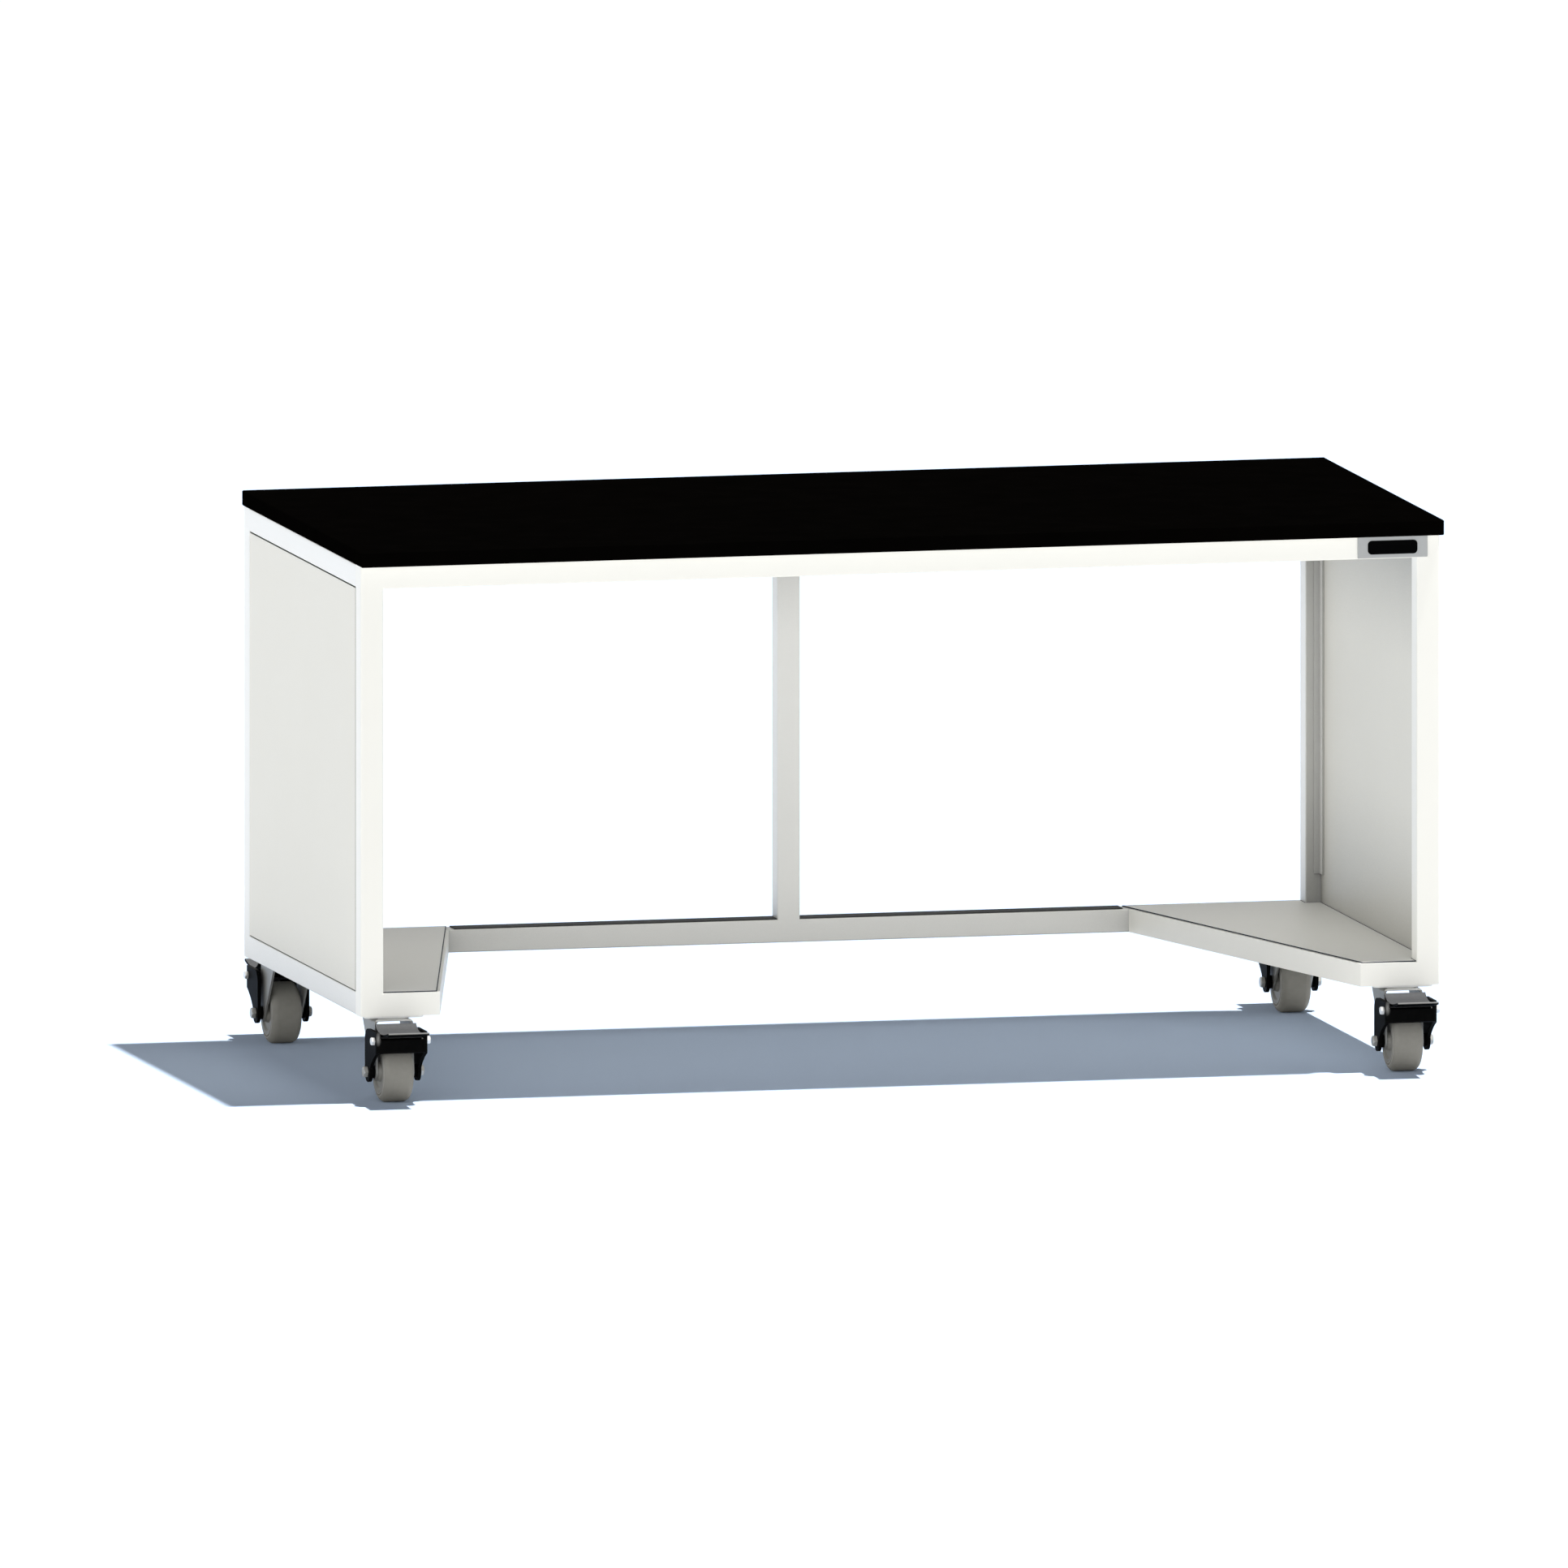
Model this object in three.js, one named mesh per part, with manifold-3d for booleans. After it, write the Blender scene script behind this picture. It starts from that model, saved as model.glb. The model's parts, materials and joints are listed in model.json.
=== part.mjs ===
// Mobile laboratory bench: a black worktop on a white frame of square tube, with two
// sheet decks, two side panels and four swivel casters that have foot brakes.
// Millimetres, +X to the right, +Y to the rear, +Z up.
// The origin lies on the floor under the middle of the frame.

import * as THREE from "three";
import { mergeVertices } from "three/addons/utils/BufferGeometryUtils.js";
import Module from "manifold-3d";

const wasm = await Module();
wasm.setup();

// Worktop
const WORKTOP_WIDTH = 1828.8;
const WORKTOP_DEPTH = 838.2;
const WORKTOP_THICKNESS = 25.4;
const WORKTOP_HEIGHT = 914.4;
const WORKTOP_EDGE = 1.5;
const FRONT_OVERHANG = 19;
const SIDE_OVERHANG = 3.2;

// Frame of square tube
const TUBE = 38.1;
const TUBE_WALL = 2;
const TUBE_CORNER = 2;
const SEAT_GAP = 0.3;

// Feet: narrow at the front, wide at the rear, each with a sheet deck
const FOOT_FRONT_WIDTH = 133.35;
const FOOT_REAR_WIDTH = 336.6;
const DECK_SHEET = 1.5;
const DECK_INSET = 5;
const STRIP_THICKNESS = 1.5;
const STRIP_INSET = 1.5;

// Side panels and the angles that hold them
const PANEL_THICKNESS = 12;
const PANEL_EDGE_GAP = 1.75;
const RETAINER_SHEET = 3;
const RETAINER_DEPTH = 21;
const RETAINER_FOOT = 12;
const RETAINER_LIFT = 48;

// Blank plate on the front rail
const PLATE_WIDTH = 118;
const PLATE_HEIGHT = 35;
const PLATE_THICKNESS = 1.2;
const PLATE_INSET = 20.5;

// Caster head
const CASTER_HEIGHT = 142.9;
const KINGPIN_SIDE_INSET = 58.5;
const KINGPIN_END_INSET = 55;
const HEAD_PLATE_SIDE = 100;
const HEAD_PLATE_CORNER = 10;
const HEAD_PLATE_THICKNESS = 3.2;
const RACE_DIAMETER = 92;
const RACE_THICKNESS = 2.4;
const KINGPIN_DIAMETER = 14;
const KINGPIN_HEAD_DIAMETER = 24;
const KINGPIN_HEAD_HEIGHT = 3;
const RUNNING_GAP = 0.4;

// Wheel and axle
const WHEEL_DIAMETER = 101.6;
const WHEEL_WIDTH = 50.8;
const WHEEL_FACETS = 24;
const TREAD_DEPTH = 15;
const TREAD_SHOULDER = 13;
const CORE_RIM = 6;
const CORE_DISH = 6;
const CORE_BOSS_DIAMETER = 30;
const AXLE_DIAMETER = 12;
const AXLE_NUT_DIAMETER = 19;
const AXLE_NUT_HEIGHT = 7;

// Fork
const TRAIL = 38;
const FORK_SHEET = 3.5;
const FORK_SIDE_GAP = 3.4;
const FORK_LENGTH = 88;
const FORK_BEND = 7;
const FORK_END_RADIUS = 15;

// Brake housing and pedal
const HOUSING_SIDE_GAP = 5.5;
const HOUSING_WALL = 6;
const HOUSING_END_RADIUS = 17;
const HOUSING_TOP_RADIUS = 20;
const HOUSING_NECK_DEGREES = 20;
const HOUSING_BOSS_DIAMETER = 22;
const HOUSING_TOP = 15;
const HOUSING_DROP = 18;
const PIVOT_FORWARD = 51;
const PIVOT_DIAMETER = 8;
const PIVOT_HEAD_DIAMETER = 14;
const PIVOT_HEAD_HEIGHT = 6;
const PEDAL_HEADROOM = 12;
const PEDAL_SIDE_GAP = 3.3;
const PEDAL_FRONT_GAP = 1.5;
const PEDAL_STROKE_ROOM = 4.5;
const PEDAL_BACK = 35;
const PEDAL_LIP = 61;
const PEDAL_BACK_RISE = 24;
const PEDAL_LIP_RISE = 19.5;
const PEDAL_DIP = 12;
const PEDAL_SHEET = 4.5;
const PEDAL_BARREL_DIAMETER = 17;
const PEDAL_WEB = 5;
const SHOE_WIDTH = 18;
const SHOE_RADIUS = 4.2;
const SHOE_GAP = 0.8;
const SHOE_LEAD_DEGREES = 12;

// Facets on round pieces
const PIN_FACETS = 14;
const DISC_FACETS = 32;
const ARC_STEPS = 3;
const CURVE_STEPS = 4;
const HEXAGON = 6;

// Cutters run this far past the faces they cut, and points closer than the weld are one
const OVERCUT = 20;
const WELD = 1e-4;

// Places worked out from the sizes above
const frameWidth = WORKTOP_WIDTH - 2 * SIDE_OVERHANG;
const frameDepth = WORKTOP_DEPTH - FRONT_OVERHANG;
const frameBottom = CASTER_HEIGHT;
const frameTop = WORKTOP_HEIGHT - WORKTOP_THICKNESS - SEAT_GAP;
const sideX = frameWidth / 2;
const endY = frameDepth / 2;
const postX = sideX - TUBE / 2;
const postY = endY - TUBE / 2;
const baseTop = frameBottom + TUBE;
const topRailZ = frameTop - TUBE / 2;
const baseRailZ = frameBottom + TUBE / 2;
const deckZ = baseTop + SEAT_GAP;

const wheelRadius = WHEEL_DIAMETER / 2;
const axleZ = wheelRadius * Math.cos(Math.PI / WHEEL_FACETS);
const headPlateTop = frameBottom - SEAT_GAP;
const raceTop = headPlateTop - HEAD_PLATE_THICKNESS;
const raceBottom = raceTop - RACE_THICKNESS;
const crownTop = raceBottom - RUNNING_GAP;
const crownBottom = crownTop - FORK_SHEET;
const forkInner = WHEEL_WIDTH / 2 + FORK_SIDE_GAP;
const forkOuter = forkInner + FORK_SHEET;
const housingInner = forkOuter + HOUSING_SIDE_GAP;
const housingOuter = housingInner + HOUSING_WALL;
const pivotForward = TRAIL + PIVOT_FORWARD;
const pivotZ = frameBottom - PEDAL_HEADROOM - PEDAL_BACK_RISE;
const pivotRise = pivotZ - axleZ;
const pedalHalf = housingInner - PEDAL_SIDE_GAP;
const pedalUnderside = PEDAL_BACK_RISE - PEDAL_DIP - PEDAL_SHEET;
const housingFront = pivotForward + PEDAL_BARREL_DIAMETER / 2 + PEDAL_FRONT_GAP + HOUSING_WALL;
const housingLow = pivotZ - HOUSING_DROP;

// Finishes
function finish(color, roughness, metalness) {
  return new THREE.MeshStandardMaterial({ color, roughness, metalness });
}

const worktopBlack = finish(0x0b0a0a, 0.55, 0);
const frameWhite = finish(0xf4f4ee, 0.42, 0);
const panelWhite = finish(0xe6e6e1, 0.5, 0);
const stripBlack = finish(0x2a2a2b, 0.8, 0);
const plateGrey = finish(0xbcbcb9, 0.4, 0.9);
const zinc = finish(0x8f8d86, 0.45, 0.9);
const boltSteel = finish(0xd0d0cc, 0.3, 1);
const treadGrey = finish(0x85827b, 0.7, 0);
const coreGrey = finish(0x8d8b84, 0.55, 0);
const brakeBlack = finish(0x151516, 0.5, 0);

const bench = new THREE.Group();
const SIDES = [["left", -1], ["right", 1]];
const ENDS = [["front", -1], ["rear", 1]];

function addPiece(parent, name, geometry, material, x = 0, y = 0, z = 0) {
  const mesh = new THREE.Mesh(geometry, material);
  mesh.name = name;
  mesh.position.set(x, y, z);
  parent.add(mesh);
  return mesh;
}

// Joining and cutting of closed geometries
function toSolid(geometry) {
  const bare = geometry.clone();
  bare.deleteAttribute("normal");
  bare.deleteAttribute("uv");
  const merged = mergeVertices(bare, WELD);
  const vertProperties = new Float32Array(merged.attributes.position.array);
  const triVerts = new Uint32Array(merged.index.array);
  return new wasm.Manifold(new wasm.Mesh({ numProp: 3, vertProperties, triVerts }));
}

function toGeometry(solid) {
  const mesh = solid.getMesh();
  const geometry = new THREE.BufferGeometry();
  geometry.setAttribute("position", new THREE.BufferAttribute(mesh.vertProperties, 3));
  geometry.setIndex(new THREE.BufferAttribute(mesh.triVerts, 1));
  geometry.computeVertexNormals();
  return geometry;
}

function joinAll(...geometries) {
  return geometries.map(toSolid).reduce((sum, next) => sum.add(next));
}

function cutAll(solid, ...geometries) {
  return geometries.map(toSolid).reduce((rest, cutter) => rest.subtract(cutter), solid);
}

// Basic shapes
function roundedRectangle(width, height, radius) {
  const shape = new THREE.Shape();
  const x = width / 2 - radius;
  const y = height / 2 - radius;
  shape.absarc(x, y, radius, 0, Math.PI / 2);
  shape.absarc(-x, y, radius, Math.PI / 2, Math.PI);
  shape.absarc(-x, -y, radius, Math.PI, 1.5 * Math.PI);
  shape.absarc(x, -y, radius, 1.5 * Math.PI, 2 * Math.PI);
  return shape;
}

function rectangle(width, height) {
  const x = width / 2;
  const y = height / 2;
  return [[-x, -y], [x, -y], [x, y], [-x, y]].map(([across, up]) => new THREE.Vector2(across, up));
}

function extrude(shape, depth, curveSegments = 1) {
  return new THREE.ExtrudeGeometry(shape, { depth, bevelEnabled: false, curveSegments });
}

// A length of the frame's tube along one axis, open at both ends, centred on the origin
function tube(axis, length) {
  const bore = TUBE - 2 * TUBE_WALL;
  const bar = extrude(roundedRectangle(TUBE, TUBE, TUBE_CORNER), length).translate(0, 0, -length / 2);
  const geometry = toGeometry(cutAll(toSolid(bar), new THREE.BoxGeometry(bore, bore, length + OVERCUT)));
  if (axis === "x") geometry.rotateY(Math.PI / 2);
  if (axis === "y") geometry.rotateX(Math.PI / 2);
  return geometry;
}

// A round bar along X
function barX(diameter, length, facets) {
  return new THREE.CylinderGeometry(diameter / 2, diameter / 2, length, facets).rotateZ(Math.PI / 2);
}

// A cutter along X for a pin's clearance hole through a caster
function hole(pinDiameter) {
  return barX(pinDiameter + 2 * RUNNING_GAP, 2 * housingOuter + OVERCUT, PIN_FACETS);
}

// A round bar along Z between two heights
function barZ(diameter, low, high, facets) {
  const geometry = new THREE.CylinderGeometry(diameter / 2, diameter / 2, high - low, facets);
  return geometry.rotateX(Math.PI / 2).translate(0, 0, (low + high) / 2);
}

// Worktop with a softened edge
function worktop() {
  const edge = WORKTOP_EDGE;
  const outline = new THREE.Shape(rectangle(WORKTOP_WIDTH - 2 * edge, WORKTOP_DEPTH - 2 * edge));
  const bevel = { bevelEnabled: true, bevelSize: edge, bevelThickness: edge, bevelSegments: 1 };
  const geometry = new THREE.ExtrudeGeometry(outline, { depth: WORKTOP_THICKNESS - 2 * edge, ...bevel });
  geometry.translate(0, 0, edge);
  const y = endY - WORKTOP_DEPTH / 2;
  addPiece(bench, "worktop", geometry, worktopBlack, 0, y, WORKTOP_HEIGHT - WORKTOP_THICKNESS);
}

// Posts and straight rails
function frameTubes() {
  const postHeight = frameTop - frameBottom;
  const postZ = (frameTop + frameBottom) / 2;
  const longRail = frameWidth - 2 * TUBE - 2 * SEAT_GAP;
  const shortRail = frameDepth - 2 * TUBE - 2 * SEAT_GAP;
  for (const [side, sx] of SIDES) {
    for (const [end, sy] of ENDS) {
      const post = tube("z", postHeight);
      addPiece(bench, `${end}_${side}_post`, post, frameWhite, sx * postX, sy * postY, postZ);
    }
    addPiece(bench, `${side}_top_rail`, tube("y", shortRail), frameWhite, sx * postX, 0, topRailZ);
    addPiece(bench, `${side}_base_rail`, tube("y", shortRail), frameWhite, sx * postX, 0, baseRailZ);
  }
  addPiece(bench, "front_top_rail", tube("x", longRail), frameWhite, 0, -postY, topRailZ);
  addPiece(bench, "rear_top_rail", tube("x", longRail), frameWhite, 0, postY, topRailZ);
  addPiece(bench, "rear_base_rail", tube("x", longRail), frameWhite, 0, postY, baseRailZ);
  const middleLow = baseTop + SEAT_GAP;
  const middleHigh = frameTop - TUBE - SEAT_GAP;
  const middleZ = (middleLow + middleHigh) / 2;
  addPiece(bench, "rear_center_post", tube("z", middleHigh - middleLow), frameWhite, 0, postY, middleZ);
}

// Plan of one foot: distance in from the frame's side, at a distance back from its front face
const diagonalRun = frameDepth - TUBE;
const diagonalSlope = (FOOT_REAR_WIDTH - FOOT_FRONT_WIDTH) / diagonalRun;
const diagonalStretch = Math.hypot(1, diagonalSlope);
const footEdge = (back) => FOOT_FRONT_WIDTH + diagonalSlope * back;

// A plan outline on one foot, from distances in from the frame's side and back from its front
function footPlan(side, corners) {
  const place = ([inward, back]) => new THREE.Vector2(side * (sideX - inward), back - endY);
  return new THREE.Shape(corners.map(place));
}

// A tube of the foot from its plan and the plan of its bore
function footTube(outline, bore) {
  const outer = extrude(outline, TUBE).translate(0, 0, frameBottom);
  const inner = extrude(bore, TUBE - 2 * TUBE_WALL).translate(0, 0, frameBottom + TUBE_WALL);
  return toGeometry(cutAll(toSolid(outer), inner));
}

// The rail from the foot's front, where its end is capped, back to the rear rail
function diagonalRail(side) {
  const rear = diagonalRun - SEAT_GAP;
  const strip = (nearInset, farInset, front, back) => {
    const corner = (inset, at) => [footEdge(at) - inset * diagonalStretch, at];
    const near = [corner(nearInset, front), corner(nearInset, back)];
    return footPlan(side, [...near, corner(farInset, back), corner(farInset, front)]);
  };
  const bore = strip(TUBE_WALL, TUBE - TUBE_WALL, TUBE_WALL, rear + OVERCUT);
  return footTube(strip(0, TUBE, 0, rear), bore);
}

// The short rail across the front of a foot, mitred against the diagonal
function footRail(side) {
  const first = TUBE + SEAT_GAP;
  const last = (back) => footEdge(back) - first * diagonalStretch;
  const strip = (wall, past) => footPlan(side, [
    [first - past, wall],
    [last(wall) + past, wall],
    [last(TUBE - wall) + past, TUBE - wall],
    [first - past, TUBE - wall],
  ]);
  return footTube(strip(0, 0), strip(TUBE_WALL, OVERCUT));
}

// The deck covers the foot's tubes and steps round the two posts
function deck(side) {
  const edge = (back) => footEdge(back) - DECK_INSET * diagonalStretch;
  const post = TUBE + SEAT_GAP;
  const panel = PANEL_THICKNESS + SEAT_GAP;
  const front = DECK_INSET;
  const rear = frameDepth - DECK_INSET;
  const outline = footPlan(side, [
    [post, front],
    [edge(front), front],
    [edge(rear), rear],
    [post, rear],
    [post, frameDepth - post],
    [panel, frameDepth - post],
    [panel, post],
    [post, post],
  ]);
  return extrude(outline, DECK_SHEET).translate(0, 0, deckZ);
}

// The dark strip on the rear rail, between the deck and the middle post
function rearStrip(side) {
  const first = footEdge(frameDepth);
  const last = sideX - TUBE / 2 - SEAT_GAP;
  const width = TUBE - 2 * STRIP_INSET;
  const geometry = new THREE.BoxGeometry(last - first, width, STRIP_THICKNESS);
  const x = side * (sideX - (first + last) / 2);
  return geometry.translate(x, postY, deckZ + STRIP_THICKNESS / 2);
}

function feet() {
  for (const [side, sx] of SIDES) {
    addPiece(bench, `${side}_foot_rail`, footRail(sx), frameWhite);
    addPiece(bench, `${side}_diagonal_rail`, diagonalRail(sx), frameWhite);
    addPiece(bench, `${side}_deck`, deck(sx), frameWhite);
    addPiece(bench, `${side}_rear_strip`, rearStrip(sx), stripBlack);
  }
}

// An angle along a post, with its long leg flat on the panel and its heel in the corner
function retainer(sx, sy, low, high) {
  const heelX = sx * (sideX - PANEL_THICKNESS - SEAT_GAP);
  const heelY = sy * (endY - TUBE - SEAT_GAP);
  const corner = ([inX, inY]) => new THREE.Vector2(heelX - sx * inX, heelY - sy * inY);
  const sheet = RETAINER_SHEET;
  const post = [[0, 0], [RETAINER_FOOT, 0], [RETAINER_FOOT, sheet]];
  const panel = [[sheet, sheet], [sheet, RETAINER_DEPTH], [0, RETAINER_DEPTH]];
  const section = new THREE.Shape([...post, ...panel].map(corner));
  return extrude(section, high - low).translate(0, 0, low);
}

// Side panels, flush with the outside, each held by an angle on either post
function sidePanels() {
  const clear = TUBE + PANEL_EDGE_GAP;
  const depth = frameDepth - 2 * clear;
  const low = frameBottom + clear;
  const high = frameTop - clear;
  const retainerLow = deckZ + DECK_SHEET + RETAINER_LIFT;
  const retainerHigh = frameTop - TUBE - SEAT_GAP;
  for (const [side, sx] of SIDES) {
    const panel = new THREE.BoxGeometry(PANEL_THICKNESS, depth, high - low);
    const panelX = sx * (sideX - PANEL_THICKNESS / 2);
    addPiece(bench, `${side}_side_panel`, panel, panelWhite, panelX, 0, (low + high) / 2);
    for (const [end, sy] of ENDS) {
      const angle = retainer(sx, sy, retainerLow, retainerHigh);
      addPiece(bench, `${side}_${end}_retainer`, angle, frameWhite);
    }
  }
}

function blankPlate() {
  const geometry = extrude(roundedRectangle(PLATE_WIDTH, PLATE_HEIGHT, PLATE_THICKNESS), PLATE_THICKNESS);
  geometry.rotateX(Math.PI / 2);
  const x = sideX - PLATE_INSET - PLATE_WIDTH / 2;
  addPiece(bench, "blank_plate", geometry, plateGrey, x, -endY - SEAT_GAP, topRailZ);
}

// Caster pieces are drawn with the kingpin on Z and the wheel trailing towards -Y.
// Side views use the distance forward of the kingpin and the height.
function sideView(shape, fromX, toX) {
  const forward = new THREE.Vector3(0, -1, 0);
  const up = new THREE.Vector3(0, 0, 1);
  const across = new THREE.Vector3(-1, 0, 0);
  const geometry = extrude(shape, toX - fromX, CURVE_STEPS);
  geometry.applyMatrix4(new THREE.Matrix4().makeBasis(forward, up, across));
  return geometry.translate(toX, 0, 0);
}

// The outline round several circles, each given as forward, height and radius
function outlineRound(circles) {
  const points = [];
  for (const [forward, height, radius] of circles) {
    for (let step = 0; step < PIN_FACETS; step += 1) {
      const angle = (step / PIN_FACETS) * 2 * Math.PI;
      points.push(new THREE.Vector2(forward + radius * Math.cos(angle), height + radius * Math.sin(angle)));
    }
  }
  points.sort((a, b) => a.x - b.x || a.y - b.y);
  const half = (list) => {
    const chain = [];
    for (const point of list) {
      while (chain.length > 1) {
        const [a, b] = chain.slice(-2);
        if ((b.x - a.x) * (point.y - a.y) - (b.y - a.y) * (point.x - a.x) > WELD) break;
        chain.pop();
      }
      chain.push(point);
    }
    return chain.slice(0, -1);
  };
  return new THREE.Shape([...half(points), ...half([...points].reverse())]);
}

function headPlate() {
  const outline = roundedRectangle(HEAD_PLATE_SIDE, HEAD_PLATE_SIDE, HEAD_PLATE_CORNER);
  const plate = extrude(outline, HEAD_PLATE_THICKNESS, ARC_STEPS).translate(0, 0, raceTop);
  const race = barZ(RACE_DIAMETER, raceBottom, raceTop, DISC_FACETS);
  const headTop = crownBottom - RUNNING_GAP;
  const headBottom = headTop - KINGPIN_HEAD_HEIGHT;
  const kingpin = barZ(KINGPIN_DIAMETER, headBottom, raceTop + HEAD_PLATE_THICKNESS / 2, PIN_FACETS);
  const head = barZ(KINGPIN_HEAD_DIAMETER, headBottom, headTop, PIN_FACETS);
  return toGeometry(joinAll(plate, race, kingpin, head));
}

// The fork is one bent sheet: a channel across the wheel, cut to its side view
function fork() {
  const low = axleZ - FORK_END_RADIUS;
  const inner = FORK_BEND - FORK_SHEET;
  const channel = new THREE.Shape();
  channel.moveTo(-forkOuter, low);
  channel.lineTo(-forkInner, low);
  channel.absarc(-forkInner + inner, crownBottom - inner, inner, Math.PI, Math.PI / 2, true);
  channel.absarc(forkInner - inner, crownBottom - inner, inner, Math.PI / 2, 0, true);
  channel.lineTo(forkInner, low);
  channel.lineTo(forkOuter, low);
  channel.absarc(forkOuter - FORK_BEND, crownTop - FORK_BEND, FORK_BEND, 0, Math.PI / 2);
  channel.absarc(-forkOuter + FORK_BEND, crownTop - FORK_BEND, FORK_BEND, Math.PI / 2, Math.PI);
  const reach = FORK_LENGTH + TRAIL + FORK_END_RADIUS;
  const bent = extrude(channel, 2 * reach, ARC_STEPS).translate(0, 0, -reach).rotateX(Math.PI / 2);
  const corner = FORK_SHEET;
  const top = crownTop - corner;
  const half = FORK_LENGTH / 2 - corner;
  const legEnd = [TRAIL, axleZ, FORK_END_RADIUS];
  const outline = outlineRound([[-half, top, corner], [half, top, corner], legEnd]);
  const blank = sideView(outline, -forkOuter - SEAT_GAP, forkOuter + SEAT_GAP);
  const axleHole = hole(AXLE_DIAMETER).translate(0, -TRAIL, axleZ);
  const kingpinHole = barZ(KINGPIN_DIAMETER + 2 * RUNNING_GAP, low, frameBottom, PIN_FACETS);
  return toGeometry(cutAll(toSolid(bent).intersect(toSolid(blank)), axleHole, kingpinHole));
}

// A through bolt along X with a hexagon at each end
function throughBolt(diameter, headDiameter, headHeight) {
  const inside = housingOuter + SEAT_GAP;
  const shank = barX(diameter, 2 * inside + headHeight, PIN_FACETS);
  const middle = inside + headHeight / 2;
  const hexagon = (side) => barX(headDiameter, headHeight, HEXAGON).translate(side * middle, 0, 0);
  return toGeometry(joinAll(shank, hexagon(-1), hexagon(1)));
}

// Turns a closed profile of radius and width about X, standing on a flat facet
function turned(profile) {
  const closed = [...profile, profile[0]].map(([radius, across]) => new THREE.Vector2(radius, across));
  const geometry = new THREE.LatheGeometry(closed, WHEEL_FACETS, Math.PI / WHEEL_FACETS);
  return geometry.rotateZ(Math.PI / 2);
}

function tread() {
  const half = WHEEL_WIDTH / 2;
  const inner = wheelRadius - TREAD_DEPTH;
  const profile = [];
  for (const [side, start] of [[-1, -Math.PI / 2], [1, 0]]) {
    for (let step = 0; step <= ARC_STEPS; step += 1) {
      const angle = start + ((step / ARC_STEPS) * Math.PI) / 2;
      const radius = wheelRadius - TREAD_SHOULDER * (1 - Math.cos(angle));
      profile.push([radius, side * (half - TREAD_SHOULDER) + TREAD_SHOULDER * Math.sin(angle)]);
    }
  }
  return turned([[inner, -half], ...profile, [inner, half]]);
}

// The core: a rim under the tread, a dished web and a boss on the axle
function wheelCore() {
  const half = WHEEL_WIDTH / 2;
  const rim = wheelRadius - TREAD_DEPTH - SEAT_GAP;
  const web = rim - CORE_RIM;
  const boss = CORE_BOSS_DIAMETER / 2;
  const bore = AXLE_DIAMETER / 2 + RUNNING_GAP;
  const dish = half - CORE_DISH;
  const bossHalf = half + FORK_SIDE_GAP - RUNNING_GAP;
  return turned([
    [bore, -bossHalf], [boss, -bossHalf], [boss, -dish], [web, -dish], [web, -half], [rim, -half],
    [rim, half], [web, half], [web, dish], [boss, dish], [boss, bossHalf], [bore, bossHalf],
  ]);
}

// Side plate of the brake housing: round the axle below, up and forward to the pedal's pivot
function housingSide() {
  const back = TRAIL - HOUSING_END_RADIUS;
  const top = pivotZ + HOUSING_TOP;
  const corner = HOUSING_WALL;
  const crown = HOUSING_TOP_RADIUS;
  const neck = THREE.MathUtils.degToRad(HOUSING_NECK_DEGREES);
  const shape = new THREE.Shape();
  shape.absarc(TRAIL, axleZ, HOUSING_END_RADIUS, -Math.PI, neck);
  const bend = [pivotForward - HOUSING_END_RADIUS, housingLow - 2 * HOUSING_WALL];
  shape.quadraticCurveTo(...bend, housingFront, housingLow);
  shape.absarc(housingFront - corner, top - corner, corner, 0, Math.PI / 2);
  shape.absarc(back + crown, top - crown, crown, Math.PI / 2, Math.PI);
  return shape;
}

// The housing: two side plates, a wall across the front and a boss on each end of the axle
function brakeHousing() {
  const high = pivotZ + pedalUnderside - PEDAL_STROKE_ROOM;
  const left = sideView(housingSide(), -housingOuter, -housingInner);
  const right = sideView(housingSide(), housingInner, housingOuter);
  const wall = new THREE.BoxGeometry(2 * housingInner + HOUSING_WALL, HOUSING_WALL, high - housingLow);
  wall.translate(0, -housingFront + HOUSING_WALL / 2, (housingLow + high) / 2);
  const bossInner = forkOuter + SEAT_GAP;
  const bossLength = housingInner - bossInner + HOUSING_WALL / 2;
  const boss = barX(HOUSING_BOSS_DIAMETER, bossLength, PIN_FACETS).translate(0, -TRAIL, axleZ);
  const bossX = bossInner + bossLength / 2;
  const bosses = [boss.clone().translate(-bossX, 0, 0), boss.translate(bossX, 0, 0)];
  const axleHole = hole(AXLE_DIAMETER).translate(0, -TRAIL, axleZ);
  const pivotHole = hole(PIVOT_DIAMETER).translate(0, -pivotForward, pivotZ);
  return toGeometry(cutAll(joinAll(left, right, wall, ...bosses), axleHole, pivotHole));
}

// The pedal's scooped sheet: a curve from the back edge, through the dip, to the lip
function pedalScoop() {
  const dip = PEDAL_BACK_RISE - PEDAL_DIP;
  const controlForward = (PEDAL_BACK - PEDAL_LIP) / 2;
  const controlUp = 2 * dip - (PEDAL_BACK_RISE + PEDAL_LIP_RISE) / 2;
  const shape = new THREE.Shape();
  shape.moveTo(PEDAL_LIP, PEDAL_LIP_RISE);
  shape.quadraticCurveTo(controlForward, controlUp, -PEDAL_BACK, PEDAL_BACK_RISE);
  shape.lineTo(-PEDAL_BACK, PEDAL_BACK_RISE - PEDAL_SHEET);
  shape.quadraticCurveTo(controlForward, controlUp - PEDAL_SHEET, PEDAL_LIP, PEDAL_LIP_RISE - PEDAL_SHEET);
  return shape;
}

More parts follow.
